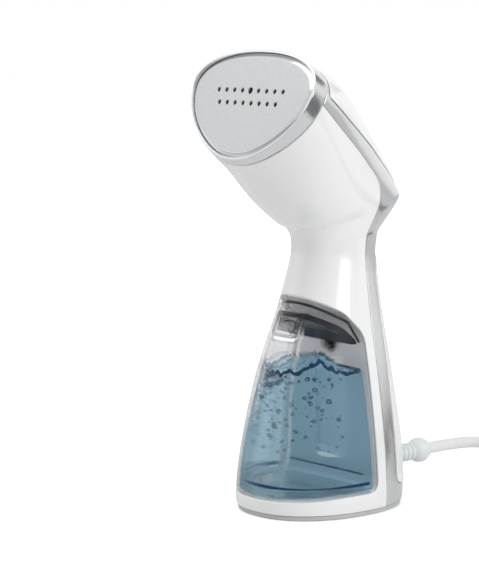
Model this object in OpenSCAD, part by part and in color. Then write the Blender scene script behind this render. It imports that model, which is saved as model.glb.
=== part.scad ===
// Handheld garment steamer: a water tank in the foot, a waisted neck to hold,
// and a wide steam head that leans forward. +Z is up, the steam side faces -Y,
// and the origin is on the floor under the middle of the foot.

/* [Foot and neck] */
// Width of the foot at its widest
base_w = 86.4; // [76:0.1:100]
// Front to back depth of the foot
base_d = 104; // [90:0.1:120]
// Width of the neck at its crease
neck_w = 46; // [42:0.1:52]
// Front to back depth of the neck at its crease
neck_d = 54; // [50:0.1:60]
// Height of the crease where the head springs from the neck
neck_z = 164; // [160:0.1:170]

/* [Head] */
// Width of the steam face
face_w = 104; // [96:0.1:120]
// Height of the steam face, measured in its own plane
face_h = 66.6; // [62:0.1:76]
// Lean of the steam face from horizontal, in degrees
face_tilt = 69.4; // [66:0.1:72]
// How far the middle of the steam face is in front of the origin
face_reach = 55.5; // [53:0.1:58]
// Height of the middle of the steam face
face_z = 242.7; // [240:0.1:248]

/* [Shells] */
// Wall thickness of the moulded shells
wall = 2.2; // [1.8:0.1:2.8]
// How far the white back covers stand proud of the silver frame
cover_proud = 0.6; // [0.2:0.1:1.2]
// Gap between pieces that sit beside each other
seam_gap = 0.3; // [0.2:0.05:0.5]
// Thickness of the bottom plate's visible edge
plate_t = 2.6; // [2:0.1:4]

/* [Tank] */
// Height of the tank window's lower edge at the front
window_z = 11; // [10:0.1:14]
// Height of the tank window's upper edge at the front
window_top = 129; // [124:0.1:134]
// Depth from the origin to the back edge of the tank window
window_back = 11; // [9:0.1:13]
// Wall thickness of the clear tank
tank_wall = 2.2; // [1.8:0.1:2.6]
// Width of the filling flap
flap_w = 24; // [20:0.5:28]
// Height of the filling flap's hinge
flap_z = 105.3; // [103:0.1:107]

/* [Pump and hoses] */
// Outer radius of the pump's coil
coil_r = 8.3; // [7.5:0.1:9]
// Outer radius of the pump's tube
pump_r = 3.5; // [3.2:0.1:4]
// Inner radius of the pump's tube
pump_bore_r = 2.4; // [2.1:0.1:2.6]
// Outer radius of the soft water hoses
hose_r = 2.4; // [2:0.1:3]

/* [Steam plate] */
// Spacing of the steam holes
hole_pitch = 7.1; // [6.5:0.1:7.8]
// Radius of a steam hole
hole_r = 1.1; // [0.8:0.1:1.4]
// Radius of the large middle hole
big_hole_r = 1.7; // [1.4:0.1:2]

/* [Buttons] */
// Width of the steam button
button_w = 15; // [13:0.5:17]
// Length of the steam button
button_l = 26; // [22:0.5:30]
// Travel of the steam button
button_travel = 2.5; // [1.5:0.1:3]
// Radius of the power button
power_r = 5; // [4:0.1:6]

/* [Power cord] */
// Radius of the cord
cord_r = 3.6; // [3:0.1:4]
// Height at which the cord leaves the foot
cord_z = 21.5; // [20:0.1:24]
// Radius of the coil at the middle of its turns
coil_mid_r = 38.5; // [36:0.5:43]

/* [Hidden] */
$fn = 48;
sides = 44;
steps = 3;
over = 1;

// One row for each level of the body, from the foot to the steam face: middle (y, z), tilt, half width,
// reach to the front, reach to the back, roundness power, taper of the outline, and 1 where there is a crease.
stations = [
    [1.5, 0, 0, base_w / 2 - 0.7, base_d / 2 - 1, base_d / 2 - 1, 2.3, 0.06, 1],
    [1.5, 12, 0, base_w / 2, base_d / 2, base_d / 2, 2.3, 0.06, 0],
    [2.5, 40, 0, base_w / 2 - 2.2, base_d / 2 - 2.5, base_d / 2 - 2.5, 2.3, 0.06, 0],
    [4.5, 80, 0, base_w / 2 - 8.2, base_d / 2 - 10, base_d / 2 - 10, 2.3, 0.05, 0],
    [9, 120, 0, neck_w / 2 + 4, neck_d / 2 + 5, neck_d / 2 + 5, 2.3, 0.03, 0],
    [12.5, 150, 0, neck_w / 2 - 0.2, neck_d / 2 - 0.5, neck_d / 2 - 0.5, 2.2, 0, 0],
    [13.2, neck_z, 3, neck_w / 2, neck_d / 2, neck_d / 2 + 0.3, 2.2, 0, 1],
    [18.5, neck_z + 13.5, 14, neck_w / 2 + 5.5, neck_d / 2 + 11, neck_d / 2 + 14.5, 2.15, 0, 1],
    [6.5, neck_z + 24.5, 30, neck_w / 2 + 11.5, face_h / 2 + 2, face_h / 2 + 5.2, 2.15, 0.03, 0],
    [face_reach * -0.25, neck_z + 43, 45, face_w / 2 - 10, face_h / 2 + 1.2, face_h / 2 + 4.7, 2.15, 0.12, 0],
    [face_reach * -0.6, face_z - 16.7, 58, face_w / 2 - 4, face_h / 2 + 1, face_h / 2 + 3.7, 2.15, 0.22, 0],
    [face_reach * -0.85, face_z - 6.7, face_tilt - 3.4, face_w / 2 - 0.8, face_h / 2 + 0.3, face_h / 2 + 2,
        2.15, 0.28, 0],
    [-face_reach, face_z, face_tilt, face_w / 2, face_h / 2, face_h / 2, 2.15, 0.3, 1]];
levels = len(stations) - 1;
neck_level = 6;

function slope_at(i, ends) = stations[i][8] > 0.5 ? ends : (stations[i + 1] - stations[i - 1]) / 2;
function ease(f) = f * f * (3 - 2 * f);
function level_mix(p, q, m1, m2, f) =
    p * (1 - ease(f)) + q * ease(f) + m1 * (f * f * f - 2 * f * f + f) + m2 * (f * f * f - f * f);
function level_between(i, f) = level_mix(stations[i], stations[i + 1],
    slope_at(i, stations[i + 1] - stations[i]), slope_at(i + 1, stations[i + 1] - stations[i]), f);
function level(t) = t >= levels ? stations[levels] : level_between(floor(t), t - floor(t));
function signed_pow(v, p) = sign(v) * pow(abs(v), p);
function outline_x(s, turn, inset) =
    (s[3] - inset) * signed_pow(cos(turn), 2 / s[6]) * (1 + s[7] * sin(turn));
function outline_v(s, turn, inset) =
    (turn < 180 ? s[5] - inset : s[4] - inset) * signed_pow(sin(turn), 2 / s[6]);
// A point of the body's surface; lift moves the whole ring along its own normal.
function body_point(t, turn, inset, lift) = let (s = level(t), v = outline_v(s, turn, inset))
    [outline_x(s, turn, inset), s[0] + v * cos(s[2]) - lift * sin(s[2]), s[1] + v * sin(s[2]) + lift * cos(s[2])];
// How far the ring's end is pushed out, so that a cavity cuts right through.
function end_lift(i, last, open) = open ? (i == 0 ? -over : (i == last ? over : 0)) : 0;

module body_loft(inset = 0, open = false, top = levels) {
    last = top * steps;
    points = [for (i = [0:last], j = [0:sides - 1])
        body_point(i / steps, 360 * j / sides, inset, end_lift(i, last, open))];
    walls = [for (i = [0:last - 1], j = [0:sides - 1])
        [i * sides + j, (i + 1) * sides + j, (i + 1) * sides + (j + 1) % sides, i * sides + (j + 1) % sides]];
    foot = [[for (j = [0:sides - 1]) j]];
    face = [[for (j = [sides - 1:-1:0]) last * sides + j]];
    polyhedron(points, concat(walls, foot, face), convexity = 8);
}

// A slab across the body whose outline is given in the side view as (y, z).
module side_slab(points, width = 200) {
    rotate([90, 0, 90]) linear_extrude(width, center = true) polygon(points);
}

// The side view's slab with its outline moved out or in.
module side_slab_offset(points, grow, width = 200) {
    rotate([90, 0, 90]) linear_extrude(width, center = true) offset(delta = grow) polygon(points);
}

// Side-view lines, as (y, z).
seam_y = 18.5;
collar_low = [-66, 202.4];
collar_high = [-26, 277];
front_seam = [[seam_y, neck_z - 1], [19.6, neck_z + 4], [22.3, neck_z + 19.4], [20.8, neck_z + 29.4],
    [15.7, neck_z + 36], [-3.4, neck_z + 50.8], [-24.6, face_z - 13.5], [-43.6, face_z + 0.8]];
front_region = concat([[-90, plate_t + 0.2], [seam_y, plate_t + 0.2]], front_seam, [collar_low, [-90, 158]]);
collar_region = [collar_low + [0, seam_gap], collar_high + [0, seam_gap], [-26, 300], [-120, 300], [-120, 180],
    [-66, 180]];
lower_cover_line = [[70, 12.5], [36, 13.5], [31, 16], [29.5, 22], [29.5, 138], [31, 145], [35, 150], [70, 152]];
upper_cover_line = [[-39.4, 249], [-15.5, 233.3], [13.5, 216.4], [57, 189], [80, 176], [80, 300],
    [-12, 300], collar_high + [2, 2]];
frame_region = concat([for (p = front_seam) p + [seam_gap, 0]],
    [[-40.4, face_z + 6.7], [-30, face_z + 19], [90, face_z + 19], [90, plate_t + 0.2],
        [seam_y + seam_gap, plate_t + 0.2]]);
window_line = [[-90, window_z - 0.5], [-38.5, window_z + 0.5], [-10.8, window_z + 2.3],
    [window_back - 5.5, window_z + 2.5], [window_back - 1.2, window_z + 5.3], [window_back, window_z + 10.2],
    [window_back, window_top - 26], [window_back - 1.9, window_top - 19.4], [window_back - 8.9, window_top - 12.3],
    [-20, window_top], [-90, window_top + 39]];

module shell_of(inset = 0, thick = wall) {
    difference() {
        body_loft(inset);
        body_loft(inset + thick, true);
    }
}

module front_shell() color("white") {
    difference() {
        intersection() {
            shell_of();
            side_slab(front_region);
        }
        side_slab(window_line);
    }
}

module rear_frame() color("silver") {
    difference() {
        intersection() {
            shell_of();
            side_slab(frame_region);
        }
        side_slab(lower_cover_line);
        side_slab(upper_cover_line);
    }
}

// The silver ring round the steam face, with a lip in front of the plate's edge.
rim_t = 1.4;
module head_collar() color("silver") {
    difference() {
        intersection() {
            body_loft();
            side_slab(collar_region);
        }
        body_loft(wall, true);
        at_face(-plate_depth) face_prism(rim_t, 30);
    }
}

module upper_back_cover() color("white") {
    difference() {
        intersection() {
            shell_of(-cover_proud, wall);
            side_slab_offset(upper_cover_line, -seam_gap);
        }
        at_back(button_at) button_hole(button_w, button_l);
        at_back(power_at) cylinder(h = 40, r = power_r + button_gap, center = true);
        at_back(lens_at) cylinder(h = 40, r = lens_r + 0.05, center = true);
    }
}

cord_hole_r = 7;
module lower_back_cover() color("white") {
    difference() {
        intersection() {
            shell_of(-cover_proud, wall);
            side_slab_offset(lower_cover_line, -seam_gap);
        }
        along_y(40, cord_z) cylinder(h = 30, r = cord_hole_r);
    }
}

// Local frames: along_y points local z to the back; at_face points local z out of the steam face.
module along_y(y, z, x = 0) {
    translate([x, y, z]) rotate([-90, 0, 0]) children();
}
module at_face(depth = 0) {
    translate([0, -face_reach, face_z]) rotate([face_tilt, 0, 0]) translate([0, 0, depth]) children();
}
// The straight line down the back of the head, from the collar's top to the knuckle's tip.
back_low = [stations[7][0] + stations[7][5] * cos(stations[7][2]),
    stations[7][1] + stations[7][5] * sin(stations[7][2])];
back_high = [stations[11][0] + stations[11][5] * cos(stations[11][2]),
    stations[11][1] + stations[11][5] * sin(stations[11][2])];
back_run = back_high - back_low;
back_angle = atan2(back_run[1], -back_run[0]);
back_dir = back_run / norm(back_run);
// Local z points out of the back, local y down towards the knuckle; the distance is from the knuckle's tip.
module at_back(distance, height = 0) {
    translate([0, back_low[0] + distance * back_dir[0], back_low[1] + distance * back_dir[1]])
        rotate([-back_angle, 0, 0]) translate([0, 0, height]) children();
}
// The steam face's outline in its own plane.
function face_outline(inset) = [for (j = [0:71]) let (turn = 5 * j, s = stations[levels])
    [outline_x(s, turn, inset), outline_v(s, turn, inset)]];
module face_prism(inset, height) {
    linear_extrude(height) polygon(face_outline(inset));
}
module face_ring(inset, thick, height) {
    linear_extrude(height) difference() {
        polygon(face_outline(inset));
        polygon(face_outline(inset + thick));
    }
}

/* Steam head */
plate_depth = 3.6;
plate_thick = 3;
plate_inset = rim_t + 0.15;
upper_row_y = 8.3;
lower_row_y = 0.7;
module plate_holes(h) {
    for (i = [-4:4])
        translate([i * hole_pitch, upper_row_y, -1]) cylinder(h = h, r = i == 0 ? big_hole_r : hole_r, $fn = 24);
    for (i = [-3.5:3.5])
        translate([i * hole_pitch, lower_row_y, -1]) cylinder(h = h, r = hole_r, $fn = 24);
}
module face_plate() color("gainsboro") at_face(-plate_depth) {
    difference() {
        face_prism(plate_inset, plate_thick);
        plate_holes(plate_thick + 2);
    }
}

gasket_t = 1.2;
module face_gasket() color("dimgray") at_face(-plate_depth - gasket_t)
    face_ring(boiler_inset + 0.3, 3.5, gasket_t);

boiler_inset = 11;
boiler_depth = 15;
boiler_front = -plate_depth - gasket_t - 0.1;
module boiler_body() color("darkgray") at_face(boiler_front - boiler_depth) {
    difference() {
        face_prism(boiler_inset, boiler_depth);
        translate([0, 0, 6]) face_prism(boiler_inset + 4.5, boiler_depth);
        translate([0, 0, -1]) cylinder(h = 10, r = inlet_r);
        for (x = [-1, 1], y = [-1, 1])
            translate([x * boiler_screw_x, y * boiler_screw_y, -1]) cylinder(h = 5, r = 1.4);
    }
}
boiler_screw_x = 26;
boiler_screw_y = 13;
inlet_r = 3;

module steam_baffle() color("lightgray") at_face(boiler_front - 3) {
    difference() {
        face_prism(boiler_inset + 4.6, 1);
        for (i = [-5:5], j = [-1, 1])
            translate([i * 6.5 + 1.5, j * 12, -1]) cylinder(h = 3, r = 1.2, $fn = 24);
    }
}

element_r = 3.2;
element_bend = 10;
element_x = 8;
element_back = boiler_front - boiler_depth - element_r - 0.1;
module heating_element() color("dimgray") at_face(element_back) {
    translate([element_x, 0, 0]) rotate([0, 0, -90])
        rotate_extrude(angle = 180) translate([element_bend, 0]) circle(r = element_r);
    for (y = [-1, 1])
        translate([element_x, y * element_bend, 0]) rotate([0, -90, 0]) cylinder(h = 30, r = element_r);
}

module thermostat() color("tan") at_face(boiler_front - boiler_depth - 7.2) {
    translate([29, 0, 0]) cylinder(h = 7, r = 6);
    translate([29, 0, -2]) cylinder(h = 2, r = 3.5);
}
module thermal_fuse() color("ivory") at_face(boiler_front - boiler_depth - 2.6)
    translate([-30, -9, 0]) rotate([-90, 0, 0]) cylinder(h = 18, r = 2.4);

shield_inset = 9;
module heat_shield() color("silver") at_face(boiler_front - boiler_depth - 11) {
    difference() {
        face_prism(shield_inset, 22);
        translate([0, 0, 0.8]) face_prism(shield_inset + 0.8, 30);
        translate([0, 0, -1]) cylinder(h = 3, r = 5);
        for (x = [-1, 1], y = [-1, 1])
            translate([x * boiler_screw_x, y * boiler_screw_y, -1]) cylinder(h = 3, r = 1.6);
        translate([-30, -13, -1]) cube([7, 5, 3]);
        translate([34, 8, -1]) cylinder(h = 3, r = 2.5);
    }
}
module boiler_screws() color("gray") at_face(boiler_front - boiler_depth - 11) {
    for (x = [-1, 1], y = [-1, 1]) translate([x * boiler_screw_x, y * boiler_screw_y, 0]) {
        translate([0, 0, -1.7]) cylinder(h = 1.7, r = 2.6);
        cylinder(h = 15, r = 1.4);
    }
}
inlet_end = boiler_front - boiler_depth - 15;
module boiler_inlet() color("goldenrod") at_face(inlet_end) {
    difference() {
        union() {
            cylinder(h = 19, r = inlet_r);
            translate([0, 0, 8.5]) cylinder(h = 2, r = 4.4);
        }
        translate([0, 0, -1]) cylinder(h = 30, r = 1.3);
    }
}

/* Foot */
liner_gap = 0.3;
liner_t = 1.7;
bulge_in_r = coil_r + 0.6;
bulge_y = 14.5;
bulge_low = 29;
bulge_high = 90;
dock_z = 98;
dock_r = 6.4;
board_y = 34;
post_x = 13;
post_zs = [42, 78];
module bay_liner() color("whitesmoke") {
    difference() {
        union() {
            intersection() {
                body_loft(wall + liner_gap, top = neck_level);
                difference() {
                    side_slab_offset(window_line, liner_gap + liner_t);
                    side_slab_offset(window_line, liner_gap);
                }
            }
            translate([0, bulge_y, bulge_low]) cylinder(h = bulge_high - bulge_low, r = bulge_in_r + liner_t);
            for (x = [-1, 1], z = post_zs)
                along_y(window_back + 1, z, x * post_x) cylinder(h = board_y - window_back - 1.2, r = 2.5);
        }
        translate([0, bulge_y, bulge_low + liner_t])
            cylinder(h = bulge_high - bulge_low - 2 * liner_t, r = bulge_in_r);
        translate([-bulge_in_r - 2, window_back + liner_gap + liner_t, bulge_low - 1])
            cube([2 * bulge_in_r + 4, 40, bulge_high - bulge_low + 2]);
        along_y(5, dock_z) cylinder(h = 20, r = dock_r);
    }
}

module base_plate() color("darkgray") {
    difference() {
        union() {
            linear_extrude(plate_t) polygon(foot_outline(0.4));
            translate([0, 0, plate_t]) linear_extrude(3) difference() {
                polygon(foot_outline(wall + 0.3));
                polygon(foot_outline(wall + 1.8));
            }
            for (x = [-1, 1]) translate([x * clamp_x, clamp_y, plate_t]) cylinder(h = clamp_low - plate_t, r = 3.5);
            translate([-10, 42.6, plate_t]) cube([20, 2.2, 26]);
        }
        for (x = [-1, 1], y = [-1, 1]) {
            translate([x * foot_x, foot_mid_y + y * foot_y, -1]) cylinder(h = 2.2, r = foot_r);
            translate([x * base_screw_x, foot_mid_y + y * base_screw_y, -1]) {
                cylinder(h = 10, r = 1.5);
                cylinder(h = 2.2, r = 3);
            }
        }
        along_y(40, cord_z) cylinder(h = 8, r = journal_r + 0.6);
    }
}
foot_r = 6;
foot_x = 24;
foot_y = 30;
foot_mid_y = stations[0][0];
base_screw_x = 32;
base_screw_y = 14;
function foot_outline(inset) = [for (j = [0:71]) let (s = stations[0])
    [outline_x(s, 5 * j, inset), s[0] + outline_v(s, 5 * j, inset)]];
module rubber_feet() color("black")
    for (x = [-1, 1], y = [-1, 1]) translate([x * foot_x, foot_mid_y + y * foot_y, 0]) cylinder(h = 1.2, r = foot_r);
module base_screws() color("gray")
    for (x = [-1, 1], y = [-1, 1]) translate([x * base_screw_x, foot_mid_y + y * base_screw_y, 0.4]) {
        cylinder(h = 0.8, r = 2.9);
        translate([0, 0, 0.8]) cylinder(h = 7, r = 1.5);
    }

/* Pump */
pump_y = 16;
coil_low = 48;
coil_high = 74;
tube_low = 42;
tube_high = 84;
bracket_t = 1.4;
bracket_back = pump_y + coil_r + 2;
module pump_coil() color("peru") translate([0, pump_y, coil_low]) {
    difference() {
        cylinder(h = coil_high - coil_low, r = coil_r);
        translate([0, 0, -1]) cylinder(h = 60, r = pump_r);
    }
}
module pump_bracket() color("gray") {
    for (z = [coil_low - bracket_t, coil_high]) difference() {
        union() {
            translate([0, pump_y, z]) cylinder(h = bracket_t, r = coil_r);
            translate([-11, 14.2, z]) cube([22, bracket_back - 13.8, bracket_t]);
        }
        translate([0, pump_y, z - 1]) cylinder(h = 4, r = pump_r + 0.05);
    }
    translate([-11, bracket_back - bracket_t, coil_low]) cube([22, bracket_t, coil_high - coil_low]);
    for (x = [-1, 1]) {
        translate([x * 11.7 - 0.7, 13.3, coil_low + 2]) cube([bracket_t, bracket_back - 13.3, 22]);
        translate([x * 14 - 3, 13.3, coil_low + 10]) cube([6, 1.2, 8]);
    }
}
module pump_tube() color("ivory") translate([0, pump_y, tube_low]) {
    difference() {
        cylinder(h = tube_high - tube_low, r = pump_r);
        translate([0, 0, 2]) cylinder(h = tube_high - tube_low - 4, r = pump_bore_r);
        translate([0, 0, -1]) cylinder(h = 80, r = 1);
    }
}
module pump_plunger() color("slategray") translate([0, pump_y, tube_low + 12])
    cylinder(h = 16, r = pump_bore_r - 0.05);
module pump_spring() color("silver") translate([0, pump_y, tube_low + 28.1]) {
    difference() {
        cylinder(h = tube_high - tube_low - 30.2, r = pump_bore_r - 0.3);
        translate([0, 0, -1]) cylinder(h = 40, r = pump_bore_r - 0.9);
    }
}
module dock_socket() color("dimgray") {
    difference() {
        union() {
            along_y(window_back + liner_gap, dock_z) cylinder(h = 12, r = dock_r - 0.1);
            along_y(window_back + liner_gap + liner_t + 0.1, dock_z) cylinder(h = 2, r = dock_r + 2);
            along_y(window_back + 12, dock_z) cylinder(h = 8, r = 2.3);
        }
        along_y(0, dock_z) cylinder(h = window_back + 10, r = spigot_r + 0.9);
        along_y(0, dock_z) cylinder(h = 60, r = 1.3);
    }
}

// A round hose through a list of points, as one swept solid.
function unit(v) = v / norm(v);
function path_dir(p, i) = unit(p[min(i + 1, len(p) - 1)] - p[max(i - 1, 0)]);
function side_of(d) = abs(d[0]) > 0.9 ? unit(cross([0, 1, 0], d)) : unit(cross([1, 0, 0], d));
module swept(path, r, n = 10) {
    last = len(path) - 1;
    points = [for (i = [0:last], j = [0:n - 1]) let (d = path_dir(path, i), a = side_of(d), b = cross(d, a))
        path[i] + r * (cos(360 * j / n) * a + sin(360 * j / n) * b)];
    walls = [for (i = [0:last - 1], j = [0:n - 1])
        [i * n + j, (i + 1) * n + j, (i + 1) * n + (j + 1) % n, i * n + (j + 1) % n]];
    polyhedron(points, concat([[for (j = [0:n - 1]) j]], walls, [[for (j = [n - 1:-1:0]) last * n + j]]));
}
// Points along a smooth curve through the given ones.
function curve_point(a, b, c, d, f) = 0.5 * (2 * b + (c - a) * f + (2 * a - 5 * b + 4 * c - d) * f * f
    + (3 * b - a - 3 * c + d) * f * f * f);
function smooth_path(p, m) = let (last = len(p) - 1) concat(
    [for (i = [0:last - 1], k = [0:m - 1])
        curve_point(p[max(i - 1, 0)], p[i], p[i + 1], p[min(i + 2, last)], k / m)], [p[last]]);

module inlet_hose() color("azure") swept(smooth_path([[0, window_back + 21, dock_z], [3, 35.5, dock_z - 1],
    [11, 37, dock_z - 7], [20, 34.5, dock_z - 16], [22.5, 30, 68], [21, 26, 52], [17, 22.5, 34], [12, 20, 23],
    [6, 17, 19], [1.4, pump_y, 23.5], [0, pump_y, 32], [0, pump_y, tube_low - 0.2]], 3), hose_r);
head_inlet = [0, -face_reach - inlet_end * sin(face_tilt), face_z + inlet_end * cos(face_tilt)];
module outlet_hose() color("azure") swept(smooth_path([[0, pump_y, tube_high + 0.9], [-1.4, pump_y + 0.3, 87],
    [-7, 18.5, 90.5], [-13, 21, 96], [-14.5, 22, 105], [-10, 20, 117], [-3, 15, 134], [0, 13, 158],
    [0, 12, 185], [0, 0, 210], head_inlet + [0, 10, -3.8], head_inlet + [0, 0.3, -0.1]], 3), hose_r);

module control_board() color("darkgreen") difference() {
    translate([-20, board_y, 36]) cube([36, 1.6, 48]);
    for (x = [-1, 1], z = post_zs) along_y(board_y - 1, z, x * post_x) cylinder(h = 4, r = 1.2);
}
module board_relay() color("black") translate([-14, board_y + 1.7, 50]) cube([14, 7.5, 19]);
module board_capacitor() color("saddlebrown") along_y(board_y + 1.7, 62, 8) cylinder(h = 8, r = 4.5);
module wire_loom() color("firebrick") {
    swept(smooth_path([[-5, board_y - 2.2, 74], [-5, 30.5, 90], [-6, 28, 104], [-7, 26, 118], [-8, 22, 136],
        [-8, 21, 162], [-9, 18, 190], [-14, 0, 212], [-20, -14, 222], [-28, -24.5, 228]], 3), 1.8, 8);
    swept(smooth_path([[0, clamp_y - 5.6, cord_z], [-1, 27.5, cord_z + 1], [-6, 27, 31], [-8, 29, 44],
        [-9, board_y - 2.2, 56]], 3), 1.8, 8);
}

/* Controls on the back of the head */
button_at = 64;
power_at = 34;
lens_at = 47.5;
lens_r = 1.6;
button_gap = 0.35;
button_top = 6.6;
button_foot = 3.6;
power_foot = 1.6;
carrier_at = -11.5;
carrier_top = carrier_at + 2.1;
module stadium(w, l, h) {
    hull() for (y = [-1, 1]) translate([0, y * (l - w) / 2, 0]) cylinder(h = h, d = w, $fn = 32);
}
module button_hole(w, l) {
    translate([0, 0, -20]) stadium(w + 2 * button_gap, l + 2 * button_gap, 40);
}
module steam_button() color("gainsboro") at_back(button_at) {
    translate([0, 0, -1.4]) stadium(button_w, button_l, button_top + 1.4);
    translate([0, 0, -2.8]) stadium(button_w + 4, button_l + 4, 1.4);
    translate([0, 0, -button_foot]) cylinder(h = 1, r = 2);
}
module button_spring() color("silver") at_back(button_at, carrier_top) {
    difference() {
        cylinder(h = -carrier_top - 3, r = 5);
        translate([0, 0, -1]) cylinder(h = 12, r = 4.4);
    }
}
module steam_switch() color("black") at_back(button_at, carrier_top)
    translate([-3, -3, 0]) cube([6, 6, -carrier_top - button_foot - button_travel - 0.3]);
module power_button() color("gainsboro") at_back(power_at) {
    cylinder(h = 4.6, r = power_r);
    translate([0, 0, -power_foot]) cylinder(h = power_foot, r = power_r + 1.2);
}
module power_switch() color("black") at_back(power_at, carrier_top)
    translate([-4, -4, 0]) cube([8, 8, -carrier_top - power_foot - power_travel - 0.2]);
power_travel = 1.2;
module indicator_lens() color("tomato") at_back(lens_at) {
    cylinder(h = 4.9, r = lens_r);
    translate([0, 0, carrier_top + 0.1]) cylinder(h = -carrier_top - 0.1, r = 1.2);
}
module switch_carrier() color("whitesmoke") {
    at_back(button_at - 15, carrier_at) translate([-13, -32, 0]) cube([26, 64, 2]);
    intersection() {
        at_back(button_at - 15, carrier_at + 2) for (x = [-1, 1], y = [-1, 1])
            translate([x * 11, y * 29.5, 0]) cylinder(h = 30, r = 1.6);
        body_loft(wall - cover_proud + 0.3);
    }
}

/* Water tank */
tank_gap = 0.35;
channel_r = bulge_in_r + liner_t + 0.5;
spigot_r = 4;
flap_low = flap_z - 1.9;
flap_high = 119.5;
flap_t = 1.5;
pin_r = 0.8;
pin_y = -26.9;
port_w = 17;
port_low = 107.6;
port_high = 116.6;
module channel(r, low, high) {
    translate([0, bulge_y, low]) cylinder(h = high - low, r = r);
}
module flap_zone(grow, low, high) {
    translate([-flap_w / 2 - grow, -60, low]) cube([flap_w + 2 * grow, 50, high - low]);
}
module water_tank() color("lightblue", 0.5) {
    difference() {
        union() {
            difference() {
                intersection() {
                    body_loft(top = neck_level);
                    side_slab_offset(window_line, -tank_gap);
                }
                intersection() {
                    body_loft(tank_wall, true, neck_level);
                    side_slab_offset(concat([for (i = [0:6]) window_line[i]], [[window_back, 200], [-90, 200]]),
                        -tank_gap - tank_wall);
                }
            }
            intersection() {
                body_loft(0.5, top = neck_level);
                side_slab_offset(window_line, -tank_gap);
                channel(channel_r + 1.8, bulge_low - 2.4, bulge_high + 2.4);
            }
            intersection() {
                body_loft(flap_t + 0.3, top = neck_level);
                flap_zone(2, flap_low - 2, flap_high + 2);
                translate([-30, -60, 90]) cube([60, 60 + flap_seat_y, 40]);
            }
        }
        channel(channel_r, bulge_low - 0.6, bulge_high + 0.6);
        along_y(0, dock_z) cylinder(h = 20, r = spigot_r + 0.05);
        difference() {
            flap_zone(0.3, flap_low, flap_high + 0.3);
            body_loft(flap_t + 0.2, top = neck_level);
        }
        translate([-port_w / 2, -60, port_low]) cube([port_w, 50, port_high - port_low]);
        translate([-5, -60, flap_low]) cube([10, 60 + pin_y + 2.2, flap_z + 2.2 - flap_low]);
        translate([-9, pin_y, flap_z]) rotate([0, 90, 0]) cylinder(h = 18, r = pin_r);
    }
}
flap_seat_y = -18.5;

lid_low = -7;
lid_high = -4.2;
// The part of the tank window's slanted top edge moved down, as a slab for the lid.
module lid_slab(low, high) {
    side_slab([[window_back - tank_gap - tank_wall - 0.15, window_top - 24 + low],
        [window_back - 8.9, window_top - 12.3 + low], [-20, window_top + low], [-90, window_top + 39 + low],
        [-90, window_top + 39 + high], [-20, window_top + high], [window_back - 8.9, window_top - 12.3 + high],
        [window_back - tank_gap - tank_wall - 0.15, window_top - 24 + high]]);
}
nozzle_y = -13.5;
nozzle_z = 114;
module tank_lid() color("dimgray") {
    difference() {
        union() {
            intersection() {
                body_loft(tank_wall + 0.15, true, neck_level);
                lid_slab(lid_low, lid_high);
            }
            translate([0, nozzle_y, nozzle_z]) cylinder(h = 6, r1 = 3, r2 = 5.5);
            translate([0, nozzle_y, nozzle_z - 5]) cylinder(h = 6, r = 2);
            translate([-7, -3, dock_z - 5.5]) cube([14, window_back - tank_gap - tank_wall + 2.8, 17]);
            along_y(6, dock_z) cylinder(h = window_back + 2, r = spigot_r);
        }
        difference() {
            translate([-20, -40, 110]) cube([40, 80, 40]);
            body_loft(flap_t + 3.4, top = neck_level);
        }
        translate([0, nozzle_y, nozzle_z - 6]) cylinder(h = 10, r = 1.2);
        along_y(0, dock_z) cylinder(h = 40, r = 1.5);
        translate([-flap_w / 2 - 2.3, -40, 90]) cube([flap_w + 4.6, 40 + flap_seat_y + 0.3, 31]);
    }
}
module tank_seal() color("black") intersection() {
    difference() {
        body_loft(tank_wall + 0.15, true, neck_level);
        body_loft(tank_wall + 1.8, true, neck_level);
    }
    lid_slab(lid_high + 0.1, lid_high + 1.6);
    translate([-60, flap_seat_y + 0.5, 80]) cube([120, 60, 60]);
}
module spigot_ring() color("black") along_y(14.5, dock_z)
    rotate_extrude() translate([spigot_r + 0.45, 0]) circle(r = 0.43);

module pickup_hose() color("azure") swept(smooth_path([[0, nozzle_y, nozzle_z - 5.3], [0, -14, 105],
    [0, -16, 98], [0, -19.5, 84], [0, -21.5, 68], [0, -22.5, 52], [0, -23, 40], [0, -24.5, 29], [0, -28, 21.4], [0, -33.6, 20]], 3), hose_r);
module pickup_filter() color("lightgray") {
    difference() {
        along_y(-43.5, 20) cylinder(h = 9.6, r = 3.6);
        along_y(-44.5, 20) cylinder(h = 8, r = 2.4);
    }
}

module fill_flap() color("lightblue", 0.6) {
    difference() {
        union() {
            intersection() {
                difference() {
                    body_loft(top = neck_level);
                    body_loft(flap_t, true, neck_level);
                }
                flap_zone(0, flap_z, flap_high);
            }
            translate([-4.6, pin_y, flap_z]) rotate([0, 90, 0]) cylinder(h = 9.2, r = 1.7);
        }
        translate([-9, pin_y, flap_z]) rotate([0, 90, 0]) cylinder(h = 18, r = pin_r + 0.06);
        for (x = [-1, 1]) translate([x * 10 - 5.1, pin_y - 1.5, flap_z - 3]) cube([10.2, 4, 4.8]);
    }
}
module fill_plug() color("dimgray") difference() {
    intersection() {
        difference() {
            body_loft(flap_t, top = neck_level);
            body_loft(flap_t + 2.4, true, neck_level);
        }
        translate([-port_w / 2 + 0.5, -60, port_low + 0.4]) cube([port_w - 1, 50, port_high - port_low - 1.8]);
    }
    translate([-port_w / 2 + 2.5, -23.4, port_low + 2]) cube([port_w - 5, 8, port_high - port_low - 5]);
}
module flap_pin() color("silver")
    translate([-8.5, pin_y, flap_z]) rotate([0, 90, 0]) cylinder(h = 17, r = pin_r);

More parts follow.
